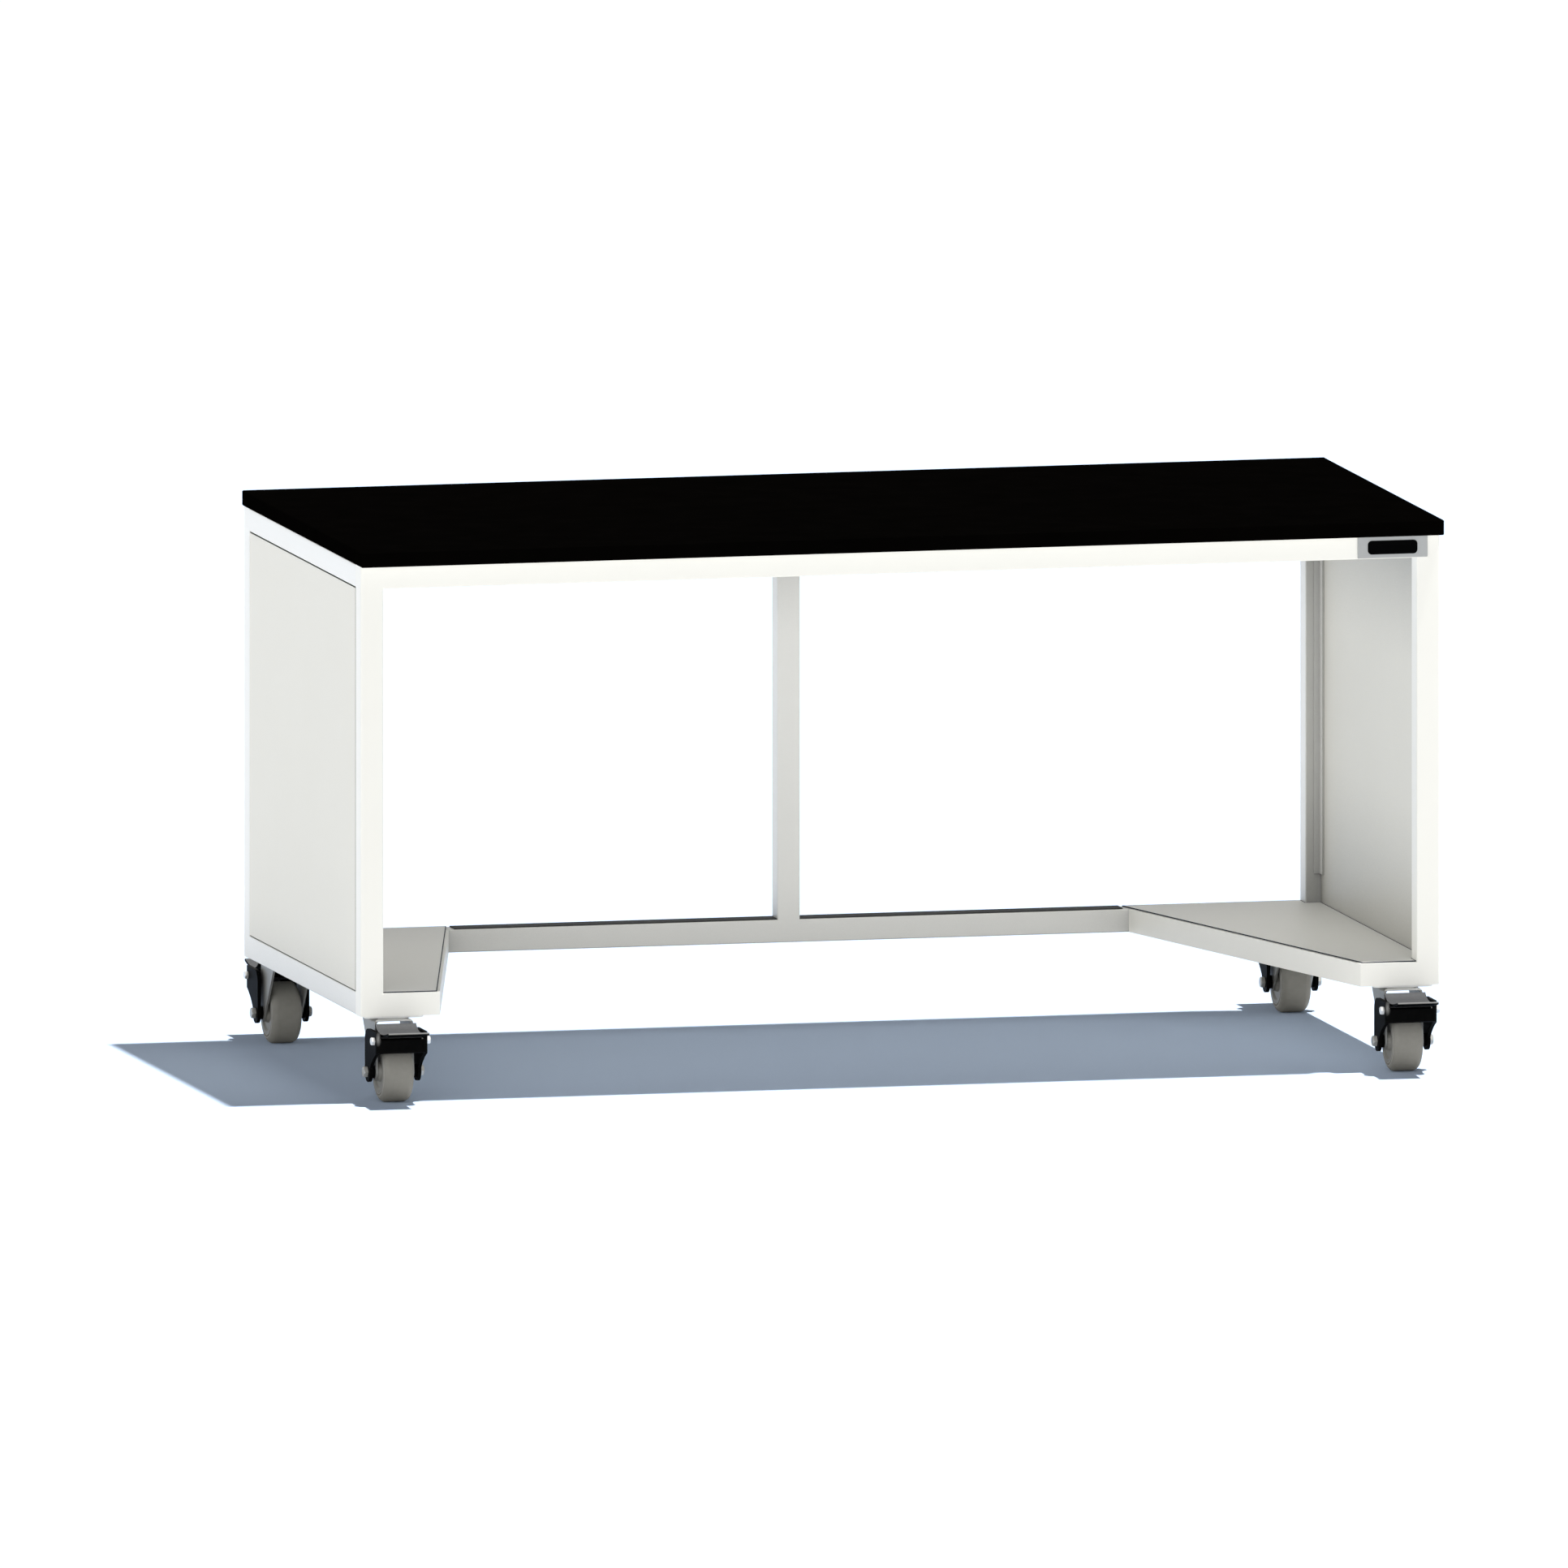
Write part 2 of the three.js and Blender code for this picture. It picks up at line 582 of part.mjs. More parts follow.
// The pedal: its sheet on two webs, a barrel on the pivot and a shoe towards the wheel.
// It is drawn about the pivot, forward and up.
function brakePedal() {
  const barrel = PEDAL_BARREL_DIAMETER / 2;
  const inside = pedalHalf - SEAT_GAP;
  const web = outlineRound([[0, 0, barrel], [0, pedalUnderside, PEDAL_SHEET / 2]]);
  const pivotToAxle = Math.hypot(PIVOT_FORWARD, pivotRise);
  const shoeReach = pivotToAxle - wheelRadius - SHOE_GAP - SHOE_RADIUS;
  const lead = THREE.MathUtils.degToRad(SHOE_LEAD_DEGREES);
  const shoeAngle = Math.atan2(-pivotRise, -PIVOT_FORWARD) + lead;
  const shoeTip = [shoeReach * Math.cos(shoeAngle), shoeReach * Math.sin(shoeAngle), SHOE_RADIUS];
  const pieces = [
    sideView(pedalScoop(), -pedalHalf, pedalHalf),
    sideView(web, -inside, PEDAL_WEB - inside),
    sideView(web, inside - PEDAL_WEB, inside),
    barX(PEDAL_BARREL_DIAMETER, 2 * inside, PIN_FACETS),
    sideView(outlineRound([[0, 0, barrel], shoeTip]), -SHOE_WIDTH / 2, SHOE_WIDTH / 2),
  ];
  return toGeometry(cutAll(joinAll(...pieces), hole(PIVOT_DIAMETER)));
}

function casters() {
  for (const [end, sy] of ENDS) {
    for (const [side, sx] of SIDES) {
      const caster = new THREE.Group();
      caster.position.set(sx * (sideX - KINGPIN_SIDE_INSET), sy * (endY - KINGPIN_END_INSET), 0);
      caster.rotation.z = sy < 0 ? 0 : Math.PI;
      bench.add(caster);
      const named = (piece) => `${end}_${side}_${piece}`;
      addPiece(caster, named("head_plate"), headPlate(), zinc);
      addPiece(caster, named("fork"), fork(), zinc);
      const axle = throughBolt(AXLE_DIAMETER, AXLE_NUT_DIAMETER, AXLE_NUT_HEIGHT);
      addPiece(caster, named("axle_bolt"), axle, boltSteel, 0, -TRAIL, axleZ);
      addPiece(caster, named("tread"), tread(), treadGrey, 0, -TRAIL, axleZ);
      addPiece(caster, named("wheel_core"), wheelCore(), coreGrey, 0, -TRAIL, axleZ);
      addPiece(caster, named("brake_housing"), brakeHousing(), brakeBlack);
      addPiece(caster, named("brake_pedal"), brakePedal(), brakeBlack, 0, -pivotForward, pivotZ);
      const pivot = throughBolt(PIVOT_DIAMETER, PIVOT_HEAD_DIAMETER, PIVOT_HEAD_HEIGHT);
      addPiece(caster, named("pivot_bolt"), pivot, boltSteel, 0, -pivotForward, pivotZ);
    }
  }
}

worktop();
frameTubes();
feet();
sidePanels();
blankPlate();
casters();

export default bench;
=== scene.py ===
# %% [markdown]
# # A mobile lab bench in Blender
#
# The bench has a black worktop on a white frame of square steel tube. Two sheet decks lie low
# down at its ends, a panel closes each side, and it rolls on four braked swivel casters.
# The solids of the bench come in as a fixed frame, in metres, with +X to the right, +Y to the
# rear and +Z up. This lesson lights them, gives each surface its finish, and builds the round
# and bent pieces of the casters again with finer shapes.

import json
from math import atan2, cos, hypot, pi, radians, sin

import bmesh
import bpy
from mathutils import Matrix, Vector


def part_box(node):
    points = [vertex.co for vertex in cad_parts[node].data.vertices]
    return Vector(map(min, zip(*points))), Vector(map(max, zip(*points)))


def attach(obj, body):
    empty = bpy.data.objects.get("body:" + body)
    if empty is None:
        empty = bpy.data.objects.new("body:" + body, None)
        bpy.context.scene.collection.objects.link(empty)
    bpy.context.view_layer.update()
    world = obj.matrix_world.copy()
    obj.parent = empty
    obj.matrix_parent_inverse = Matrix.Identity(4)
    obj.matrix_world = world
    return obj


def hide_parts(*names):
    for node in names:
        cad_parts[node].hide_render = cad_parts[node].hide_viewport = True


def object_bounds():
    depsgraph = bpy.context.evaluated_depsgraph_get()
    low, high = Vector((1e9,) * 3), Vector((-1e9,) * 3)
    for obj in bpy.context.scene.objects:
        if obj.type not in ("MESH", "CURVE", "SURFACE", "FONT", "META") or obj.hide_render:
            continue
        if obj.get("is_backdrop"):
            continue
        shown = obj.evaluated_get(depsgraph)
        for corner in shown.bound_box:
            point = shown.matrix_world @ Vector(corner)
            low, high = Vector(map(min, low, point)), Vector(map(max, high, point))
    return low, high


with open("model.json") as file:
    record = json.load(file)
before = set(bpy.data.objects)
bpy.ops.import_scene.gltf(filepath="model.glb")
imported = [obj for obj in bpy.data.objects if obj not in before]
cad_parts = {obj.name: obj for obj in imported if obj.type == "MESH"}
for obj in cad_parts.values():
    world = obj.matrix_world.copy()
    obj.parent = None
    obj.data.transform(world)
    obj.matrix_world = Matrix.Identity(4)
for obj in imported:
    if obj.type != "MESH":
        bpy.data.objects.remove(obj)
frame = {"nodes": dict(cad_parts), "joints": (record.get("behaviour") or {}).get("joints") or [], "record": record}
solid_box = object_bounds()
MM = 0.001

# %% [markdown]
# ## Camera
#
# In the picture, upright edges don't lean and parallel edges stay parallel, so it was taken in
# parallel projection. An orthographic camera does the same: its distance doesn't matter, only its
# direction, the point it aims at and the width that it sees. Aiming by a vector and a
# quaternion is shorter than working out three Euler angles by hand.

# %% Camera
CAMERA_AZIMUTH = radians(-13.556)
CAMERA_ELEVATION = radians(7.267)
CAMERA_TARGET = Vector((-0.079, 0.077, 0.444))
CAMERA_WIDTH = 2.5757
CAMERA_DISTANCE = 8.0
CAMERA_FAR = 60.0

towards_camera = Vector((
    sin(CAMERA_AZIMUTH) * cos(CAMERA_ELEVATION),
    -cos(CAMERA_AZIMUTH) * cos(CAMERA_ELEVATION),
    sin(CAMERA_ELEVATION),
))
lens = bpy.data.cameras.new("bench_camera")
lens.type = "ORTHO"
lens.ortho_scale = CAMERA_WIDTH
lens.clip_end = CAMERA_FAR
camera = bpy.data.objects.new("bench_camera", lens)
camera.location = CAMERA_TARGET + CAMERA_DISTANCE * towards_camera
camera.rotation_euler = towards_camera.to_track_quat("Z", "Y").to_euler()
bpy.context.scene.collection.objects.link(camera)
bpy.context.scene.camera = camera
print("camera looks along", tuple(round(-part, 3) for part in towards_camera))

# %% [markdown]
# ## Writing shaders as expressions
#
# A material is a graph of nodes, and long lists of nodes and links are hard to read. This small
# class wraps one socket. Its operators add Math nodes, so `0.4 + 0.1 * grain` in the script makes
# the same graph that one would wire by hand. The method `add` makes any other node: its settings
# go in first, because some of them change which sockets the node has, and then its inputs.
# A Mix node has sockets for each kind of data, with the same names, so its colours go by place.

# %% Shader helper
MIX_DARK = 6
MIX_LIGHT = 7
MIX_RESULT = 2


class Wire:
    """A socket of a node tree, with Python's operators for its maths."""

    def __init__(self, tree, socket=None):
        self.tree = tree
        self.socket = socket

    def add(self, kind, settings=None, inputs=None, output=0):
        node = self.tree.nodes.new(kind)
        for name, value in (settings or {}).items():
            setattr(node, name, value)
        for name, value in (inputs or {}).items():
            if isinstance(value, Wire):
                self.tree.links.new(value.socket, node.inputs[name])
            else:
                node.inputs[name].default_value = value
        return Wire(self.tree, node.outputs[output] if node.outputs else None)

    def maths(self, operation, first, second):
        return self.add("ShaderNodeMath", {"operation": operation}, {0: first, 1: second})

    def mix(self, dark, light):
        """A colour between two others, with this wire as the factor."""
        ends = [colour if isinstance(colour, Wire) else (*colour, 1) for colour in (dark, light)]
        inputs = {"Factor": self, MIX_DARK: ends[0], MIX_LIGHT: ends[1]}
        return self.add("ShaderNodeMix", {"data_type": "RGBA"}, inputs, MIX_RESULT)

    def __add__(self, other):
        return self.maths("ADD", self, other)

    def __radd__(self, other):
        return self.maths("ADD", other, self)

    def __sub__(self, other):
        return self.maths("SUBTRACT", self, other)

    def __rsub__(self, other):
        return self.maths("SUBTRACT", other, self)

    def __mul__(self, other):
        return self.maths("MULTIPLY", self, other)

    def __rmul__(self, other):
        return self.maths("MULTIPLY", other, self)


print("wire operators: + - *")

# %% [markdown]
# ## Light, floor and background
#
# The picture has a small strong light high up on the right, which throws the worktop's crisp
# shadow to the left, and soft light from all round, much of it thrown back up by the white ground.
# A sun lamp gives the first. The pale floor and a world that is brightest at its horizon give the
# second; the world is dimmer on the right, where the sun lights the side, and a weak wide lamp
# lifts the front and the left a little. All stay at a plain level, so that a colour renders about
# as it is written.
# The white ground needs no extra light: where it is seen, by the camera or in a mirror, Light Path
# gives the floor a colour of its own that turns white in the light and blue-grey in the shadow.

# %% Light and floor
SUN_TOWARDS = Vector((0.232, -0.03, 0.972))
SUN_LEVEL = 4.4
SUN_SPREAD = radians(1.2)
FILL_TOWARDS = Vector((-0.38, -0.8, 0.42))
FILL_LEVEL = 0.53
FILL_SPREAD = radians(70)
HORIZON_LEVEL = 2.25
HORIZON_FALL = 4.0
RIGHT_DIM = 0.5
ZENITH_LEVEL = 0.05
FLOOR_SIZE = 60.0
FLOOR_SEEN = (0.645, 0.775, 0.985)
FLOOR_LIT = 0.705


def seen_rays(wire):
    """1 for rays from the camera, and for mirror and glass rays that show the background."""
    ray = wire.add("ShaderNodeLightPath")
    outputs = ray.socket.node.outputs
    camera_ray = Wire(wire.tree, outputs["Is Camera Ray"])
    glossy_ray = Wire(wire.tree, outputs["Is Glossy Ray"])
    through_ray = Wire(wire.tree, outputs["Is Transmission Ray"])
    total = camera_ray + glossy_ray + through_ray
    return total.maths("MINIMUM", total, 1.0)


def build_world():
    world = bpy.data.worlds.new("white_studio")
    world.use_nodes = True
    tree = world.node_tree
    tree.nodes.clear()
    wire = Wire(tree)
    seen = seen_rays(wire)
    direction = wire.add("ShaderNodeTexCoord", None, None, "Generated")
    height = wire.add("ShaderNodeSeparateXYZ", None, {"Vector": direction}, "Z")
    rightward = wire.add("ShaderNodeSeparateXYZ", None, {"Vector": direction}, "X")
    low_sky = 1.0 - height.maths("ABSOLUTE", height, 0.0)
    band = low_sky.maths("POWER", low_sky, HORIZON_FALL)
    dimmed = 1.0 - RIGHT_DIM * rightward.maths("MAXIMUM", rightward, 0.0)
    light = ZENITH_LEVEL + (HORIZON_LEVEL - ZENITH_LEVEL) * band * dimmed
    level = seen + (1.0 - seen) * light
    sky = wire.add("ShaderNodeBackground", None, {"Color": (1, 1, 1, 1), "Strength": level})
    wire.add("ShaderNodeOutputWorld", None, {"Surface": sky})
    bpy.context.scene.world = world


def build_floor():
    mesh = bpy.data.meshes.new("floor")
    half = FLOOR_SIZE / 2
    corners = [(-half, -half, 0), (half, -half, 0), (half, half, 0), (-half, half, 0)]
    mesh.from_pydata(corners, [], [(0, 1, 2, 3)])
    floor = bpy.data.objects.new("floor", mesh)
    bpy.context.scene.collection.objects.link(floor)
    material = bpy.data.materials.new("floor_white")
    material.use_nodes = True
    tree = material.node_tree
    tree.nodes.clear()
    wire = Wire(tree)
    colour = seen_rays(wire).mix((FLOOR_LIT,) * 3, FLOOR_SEEN)
    ground = wire.add("ShaderNodeBsdfDiffuse", None, {"Color": colour})
    wire.add("ShaderNodeOutputMaterial", None, {"Surface": ground})
    mesh.materials.append(material)
    floor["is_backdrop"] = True


def build_lamp(name, towards, level, spread):
    lamp = bpy.data.lights.new(name, "SUN")
    lamp.energy = level
    lamp.angle = spread
    sun = bpy.data.objects.new(name, lamp)
    sun.rotation_euler = towards.to_track_quat("Z", "Y").to_euler()
    bpy.context.scene.collection.objects.link(sun)


bpy.context.scene.view_settings.view_transform = "Standard"
build_world()
build_floor()
build_lamp("high_sun", SUN_TOWARDS, SUN_LEVEL, SUN_SPREAD)
build_lamp("front_fill", FILL_TOWARDS, FILL_LEVEL, FILL_SPREAD)
print("studio: sky", HORIZON_LEVEL, "to", ZENITH_LEVEL, "sun", SUN_LEVEL)

# %% [markdown]
# ## Finishes
#
# Every finish is one Principled shader. Noise in the object's own coordinates, which are metres
# here, gives each finish its grain at a real scale: a grain of half a millimetre is a noise
# scale of 2000. Object coordinates ride with the piece, so the grain doesn't swim when a caster
# turns. The grain feeds the colour, the roughness and a Bump node, and whatever is the same all
# over is set on the shader's own socket. Some pale finishes also carry painted shade: an Ambient
# Occlusion node knows how closed-in a place is, and mixes a grey into the colour there.

# %% Finish helper
CLOUD_SHARE = 0.65
BUMP_STRENGTH = 0.6
HIGHLIGHT_LEAST = 0.01
CORNER_REACH = 250 * MM
# Painted shade: the grey that the Ambient Occlusion node mixes into closed-in corners.
CORNER_SHADE = (0.12, 0.12, 0.115)


def painted_corner_shade(wire, colour):
    """A colour that greys where other faces are near, as painted shade."""
    inputs = {"Distance": CORNER_REACH}
    open_air = wire.add("ShaderNodeAmbientOcclusion", {"samples": 8}, inputs, "AO")
    return open_air.mix(CORNER_SHADE, colour)


def near_highlight(wire, place, centre, radius):
    """1 at a painted highlight's centre, and next to nothing beyond its radius."""
    inputs = {0: place, 1: centre}
    apart = wire.add("ShaderNodeVectorMath", {"operation": "DISTANCE"}, inputs, "Value")
    close = 1.0 - apart * (1 / radius)
    return close.maths("MAXIMUM", close, HIGHLIGHT_LEAST)


def finish(
        name, dark, light, cloud, grain, rough, bump,
        specular=0.5, metallic=0.0, stretch=(1, 1, 1), highlight_spot=None, corner_shaded=False):
    """A finish: two close colours in soft clouds, and a fine grain in roughness and bump.

    cloud and grain are the sizes of their features, rough is the roughness and how far the grain
    moves it, and bump is the height of the grain. With a highlight spot, a centre and a radius, the
    light colour shows only round that centre, as a painted highlight. A corner-shaded finish is
    greyer in its corners, as painted shade.
    """
    material = bpy.data.materials.new(name)
    material.use_nodes = True
    tree = material.node_tree
    tree.nodes.clear()
    wire = Wire(tree)
    place = wire.add("ShaderNodeTexCoord", None, None, "Object")
    place = wire.add("ShaderNodeMapping", None, {"Vector": place, "Scale": stretch})
    broad = {"Vector": place, "Scale": 1 / cloud, "Detail": 3.0}
    fine = {"Vector": place, "Scale": 1 / grain, "Detail": 2.0}
    clouds = wire.add("ShaderNodeTexNoise", None, broad)
    grains = wire.add("ShaderNodeTexNoise", None, fine)
    blend = CLOUD_SHARE * clouds + (1 - CLOUD_SHARE) * grains
    if highlight_spot:
        # The noise is about a half, so twice the noise is about 1 at the centre.
        centre = [part * scale for part, scale in zip(highlight_spot[0], stretch)]
        blend = 2.0 * blend * near_highlight(wire, place, centre, highlight_spot[1])
    colour = blend.mix(dark, light)
    if corner_shaded:
        colour = painted_corner_shade(wire, colour)
    relief = {"Height": grains, "Distance": bump, "Strength": BUMP_STRENGTH}
    shader = wire.add("ShaderNodeBsdfPrincipled", None, {
        "Base Color": colour,
        "Roughness": rough[0] + rough[1] * (grains - 0.5),
        "Normal": wire.add("ShaderNodeBump", None, relief),
        "Specular IOR Level": specular,
        "Metallic": metallic,
    })
    wire.add("ShaderNodeOutputMaterial", None, {"Surface": shader})
    return material


print("finish helper ready")

# %% [markdown]
# The frame is powder coated: a warm white skin with a faint orange peel of about a millimetre.
# Its rear and sides, and the panels, carry painted shade that greys their corners; its front has none.
# The decks have the same paint, a little darker as painted shade. The panels are board with a
# laminate face, a little greyer and finer. The worktop is a black resin slab, nearly without gloss,
# with a pale backing below. The dark strip on the rear rail and the dark line round each deck are
# painted shade.

# %% Bench finishes
frame_white = finish(
    "powder_coat_white", dark=(0.935, 0.93, 0.875), light=(0.96, 0.955, 0.9),
    cloud=200 * MM, grain=1.2 * MM, rough=(0.42, 0.1), bump=0.04 * MM, specular=0.35)
# The inner frame tubes carry painted shade in their corners.
frame_corner_shaded = finish(
    "powder_coat_corner_shaded", dark=(0.93, 0.93, 0.895), light=(0.955, 0.955, 0.92),
    cloud=200 * MM, grain=1.2 * MM, rough=(0.42, 0.1), bump=0.04 * MM, specular=0.35, corner_shaded=True)
# Painted shade: the deck paint is a little darker than the frame's, for the shade under the worktop.
deck_white_shaded = finish(
    "deck_paint_shaded", dark=(0.91, 0.91, 0.875), light=(0.94, 0.94, 0.905),
    cloud=120 * MM, grain=1.2 * MM, rough=(0.5, 0.1), bump=0.04 * MM, specular=0.3)
# The panels carry painted shade in their corners too.
panel_white = finish(
    "panel_laminate", dark=(0.805, 0.79, 0.715), light=(0.835, 0.82, 0.75),
    cloud=150 * MM, grain=0.8 * MM, rough=(0.5, 0.08), bump=0.02 * MM, specular=0.3, corner_shaded=True)
worktop_black = finish(
    "worktop_resin", dark=(0.0004, 0.0004, 0.0003), light=(0.0018, 0.0015, 0.0013),
    cloud=50 * MM, grain=0.6 * MM, rough=(0.6, 0.12), bump=0.02 * MM, specular=0.0)
backing_grey = finish(
    "worktop_backing", dark=(0.62, 0.615, 0.595), light=(0.7, 0.695, 0.675),
    cloud=40 * MM, grain=0.8 * MM, rough=(0.6, 0.1), bump=0.03 * MM, specular=0.2)
# Painted shade: the black finish on the rear rail's strip stands for the shade under the worktop.
rail_shade_strip = finish(
    "strip_rubber", dark=(0.045, 0.046, 0.046), light=(0.06, 0.061, 0.062),
    cloud=30 * MM, grain=0.7 * MM, rough=(0.8, 0.1), bump=0.05 * MM, specular=0.2)
# Painted shade: the dark line round each deck's edge.
deck_edge_shade = finish(
    "deck_edge_painted_shade", dark=(0.04, 0.047, 0.062), light=(0.06, 0.068, 0.085),
    cloud=20 * MM, grain=0.6 * MM, rough=(0.7, 0.1), bump=0.03 * MM, specular=0.1)
plate_metal = finish(
    "plate_brushed", dark=(0.385, 0.38, 0.358), light=(0.445, 0.44, 0.415),
    cloud=20 * MM, grain=0.6 * MM, rough=(0.42, 0.16), bump=0.02 * MM, metallic=0.3,
    stretch=(0.05, 1, 1))
print("bench finishes: 9")

# %% [markdown]
# A caster mixes metal, rubber and plastic. Zinc plate is a dull grey metal with soft cloudy
# patches. The head plate and the fork's crown are paler, the nuts grey and the pivot bolts bright.
# The tread is grey rubber with a dusty grain, and the brake parts are black plastic with the fine
# grain of a mould. The pedal's up-facing faces are lighter grey and the lip's edge paler still, as
# painted light, and the housing's round left corner has a painted highlight, where the picture
# shows a small light patch.

# %% Caster finishes
# A painted highlight: a pale spot on the housing's round left corner.
HIGHLIGHT_CENTRE = (-41.2 * MM, -102.4 * MM, 112 * MM)
HIGHLIGHT_RADIUS = 6 * MM
HIGHLIGHT_STRETCH = (1, 1, 0.45)

zinc_grey = finish(
    "zinc_plate", dark=(0.24, 0.238, 0.22), light=(0.31, 0.306, 0.285),
    cloud=12 * MM, grain=0.5 * MM, rough=(0.5, 0.14), bump=0.03 * MM, metallic=0.4)
head_pale = finish(
    "head_zinc", dark=(0.84, 0.84, 0.81), light=(0.9, 0.9, 0.87),
    cloud=12 * MM, grain=0.5 * MM, rough=(0.5, 0.1), bump=0.03 * MM, metallic=0.1)
nut_grey = finish(
    "nut_zinc", dark=(0.36, 0.357, 0.335), light=(0.46, 0.456, 0.43),
    cloud=5 * MM, grain=0.4 * MM, rough=(0.45, 0.12), bump=0.02 * MM, metallic=0.5)
bolt_bright = finish(
    "bolt_steel", dark=(0.68, 0.68, 0.66), light=(0.8, 0.8, 0.78),
    cloud=4 * MM, grain=0.4 * MM, rough=(0.35, 0.12), bump=0.02 * MM, metallic=0.5)
tread_grey = finish(
    "tread_rubber", dark=(0.225, 0.22, 0.198), light=(0.28, 0.275, 0.25),
    cloud=8 * MM, grain=0.7 * MM, rough=(0.72, 0.12), bump=0.06 * MM, specular=0.2)
rim_pale = finish(
    "rim_rubber", dark=(0.33, 0.325, 0.305), light=(0.38, 0.375, 0.355),
    cloud=8 * MM, grain=0.7 * MM, rough=(0.6, 0.1), bump=0.04 * MM, specular=0.25)
core_grey = finish(
    "core_plastic", dark=(0.215, 0.211, 0.192), light=(0.25, 0.246, 0.226),
    cloud=10 * MM, grain=0.6 * MM, rough=(0.55, 0.1), bump=0.04 * MM, specular=0.3)
brake_black = finish(
    "brake_plastic", dark=(0.0004, 0.0004, 0.0004), light=(0.0016, 0.0016, 0.0016),
    cloud=6 * MM, grain=0.5 * MM, rough=(0.5, 0.1), bump=0.05 * MM, specular=0.01)
corner_highlight_black = finish(
    "brake_plastic_painted_highlight", dark=(0.0006, 0.0006, 0.0006), light=(0.2, 0.2, 0.195),
    cloud=6 * MM, grain=0.5 * MM, rough=(0.5, 0.1), bump=0.05 * MM, specular=0.01,
    stretch=HIGHLIGHT_STRETCH, highlight_spot=(HIGHLIGHT_CENTRE, HIGHLIGHT_RADIUS))
# Painted light: the pedal's up-facing faces are a lighter grey than the black plastic.
pedal_top_lit = finish(
    "pedal_top_painted_light", dark=(0.04, 0.041, 0.042), light=(0.085, 0.086, 0.089),
    cloud=4 * MM, grain=0.5 * MM, rough=(0.6, 0.1), bump=0.06 * MM, specular=0.2)
# Painted highlight: a paler grey along the rounded edge of the pedal's lip.
lip_highlight = finish(
    "lip_painted_highlight", dark=(0.11, 0.11, 0.106), light=(0.2, 0.2, 0.194),
    cloud=4 * MM, grain=0.5 * MM, rough=(0.5, 0.1), bump=0.04 * MM, specular=0.3)
print("caster finishes: 11")

# %% [markdown]
# ## Dressing the solids
#
# The straight tubes, decks and panels already have their true shape, so they stay as they are
# and only change their material. The record names a finish slot for each node, and one lookup
# from slot to material dresses them all, but for the decks, whose paint is a little darker as
# painted shade, and the front, which has no painted corner shade. The faces under
# the worktop are a pale backing: they throw light down on the decks and the posts.

# %% Dress the bench's nodes
SLOT_FINISH = {
    "worktop_resin": worktop_black,
    "frame_paint": frame_corner_shaded,
    "panel_board": panel_white,
    "strip_rubber": rail_shade_strip,
    "plate_metal": plate_metal,
    "caster_zinc": zinc_grey,
    "bolt_steel": bolt_bright,
    "tread_rubber": tread_grey,
    "core_plastic": core_grey,
    "brake_plastic": brake_black,
}
node_slot = {part["node"]: part["material_slot"] for part in frame["record"]["subparts"]}
# These front tubes and the foot rails have no painted corner shade.
FRONT_UNSHADED = ("front_left_post", "front_right_post", "front_top_rail")
UNSHADED_ENDINGS = ("_foot_rail", "_diagonal_rail")
FACES_DOWN = -0.9


def node_finish(node):
    if node.endswith("_deck"):
        return deck_white_shaded
    if node in FRONT_UNSHADED or node.endswith(UNSHADED_ENDINGS):
        return frame_white
    return SLOT_FINISH[node_slot[node]]


for node, piece in frame["nodes"].items():
    piece.data.materials.clear()
    piece.data.materials.append(node_finish(node))
worktop = frame["nodes"]["worktop"].data
worktop.materials.append(backing_grey)
for face in worktop.polygons:
    if face.normal.z < FACES_DOWN:
        face.material_index = 1
print("dressed", len(node_slot), "nodes")

# %% [markdown]
# ## Shapes for the casters
#
# Three ways of making a solid cover all the caster's pieces: an outline pushed along an axis, a
# profile turned about an axis, and a boolean of such solids. Each helper returns a mesh object in
# the caster's own frame, with the kingpin on Z, the floor at zero and forward along -Y.
# Bevels come last, because a boolean cuts clean edges and every real edge is a little round.

# %% Solid helpers
def new_object(name, vertices, faces):
    mesh = bpy.data.meshes.new(name)
    mesh.from_pydata(vertices, [], faces)
    mesh.update()
    shape = bmesh.new()
    shape.from_mesh(mesh)
    bmesh.ops.recalc_face_normals(shape, faces=shape.faces)
    shape.to_mesh(mesh)
    shape.free()
    piece = bpy.data.objects.new(name, mesh)
    bpy.context.scene.collection.objects.link(piece)
    return piece


def prism(outline, low, high, place):
    """An outline of points, pushed from low to high; place puts (u, v, along) into space."""
    count = len(outline)
    vertices = [place(u, v, along) for along in (low, high) for u, v in outline]
    faces = [tuple(range(count)), tuple(range(count, 2 * count))]
    for first in range(count):
        second = (first + 1) % count
        faces.append((first, second, count + second, count + first))
    return new_object("prism", vertices, faces)


def turned(profile, steps, place, ring=True):
    """A profile of (radius, along) turned about an axis; place puts (u, v, along) into space.

    The profile of a ring is closed. Any other runs from one end face to the other.
    """
    vertices = []
    for step in range(steps):
        angle = 2 * pi * step / steps
        vertices += [place(radius * cos(angle), radius * sin(angle), along) for radius, along in profile]
    count = len(profile)
    faces = []
    for step in range(steps):
        here = step * count
        there = (step + 1) % steps * count
        for first in range(count if ring else count - 1):
            second = (first + 1) % count
            faces.append((here + first, here + second, there + second, there + first))
    if not ring:
        faces.append(tuple(range(0, steps * count, count)))
        faces.append(tuple(range(count - 1, steps * count, count)))
    return new_object("turned", vertices, faces)


def arc(centre, radius, start, end, steps):
    """Points of an arc in degrees."""
    angles = [radians(start + (end - start) * step / steps) for step in range(steps + 1)]
    return [(centre[0] + radius * cos(angle), centre[1] + radius * sin(angle)) for angle in angles]


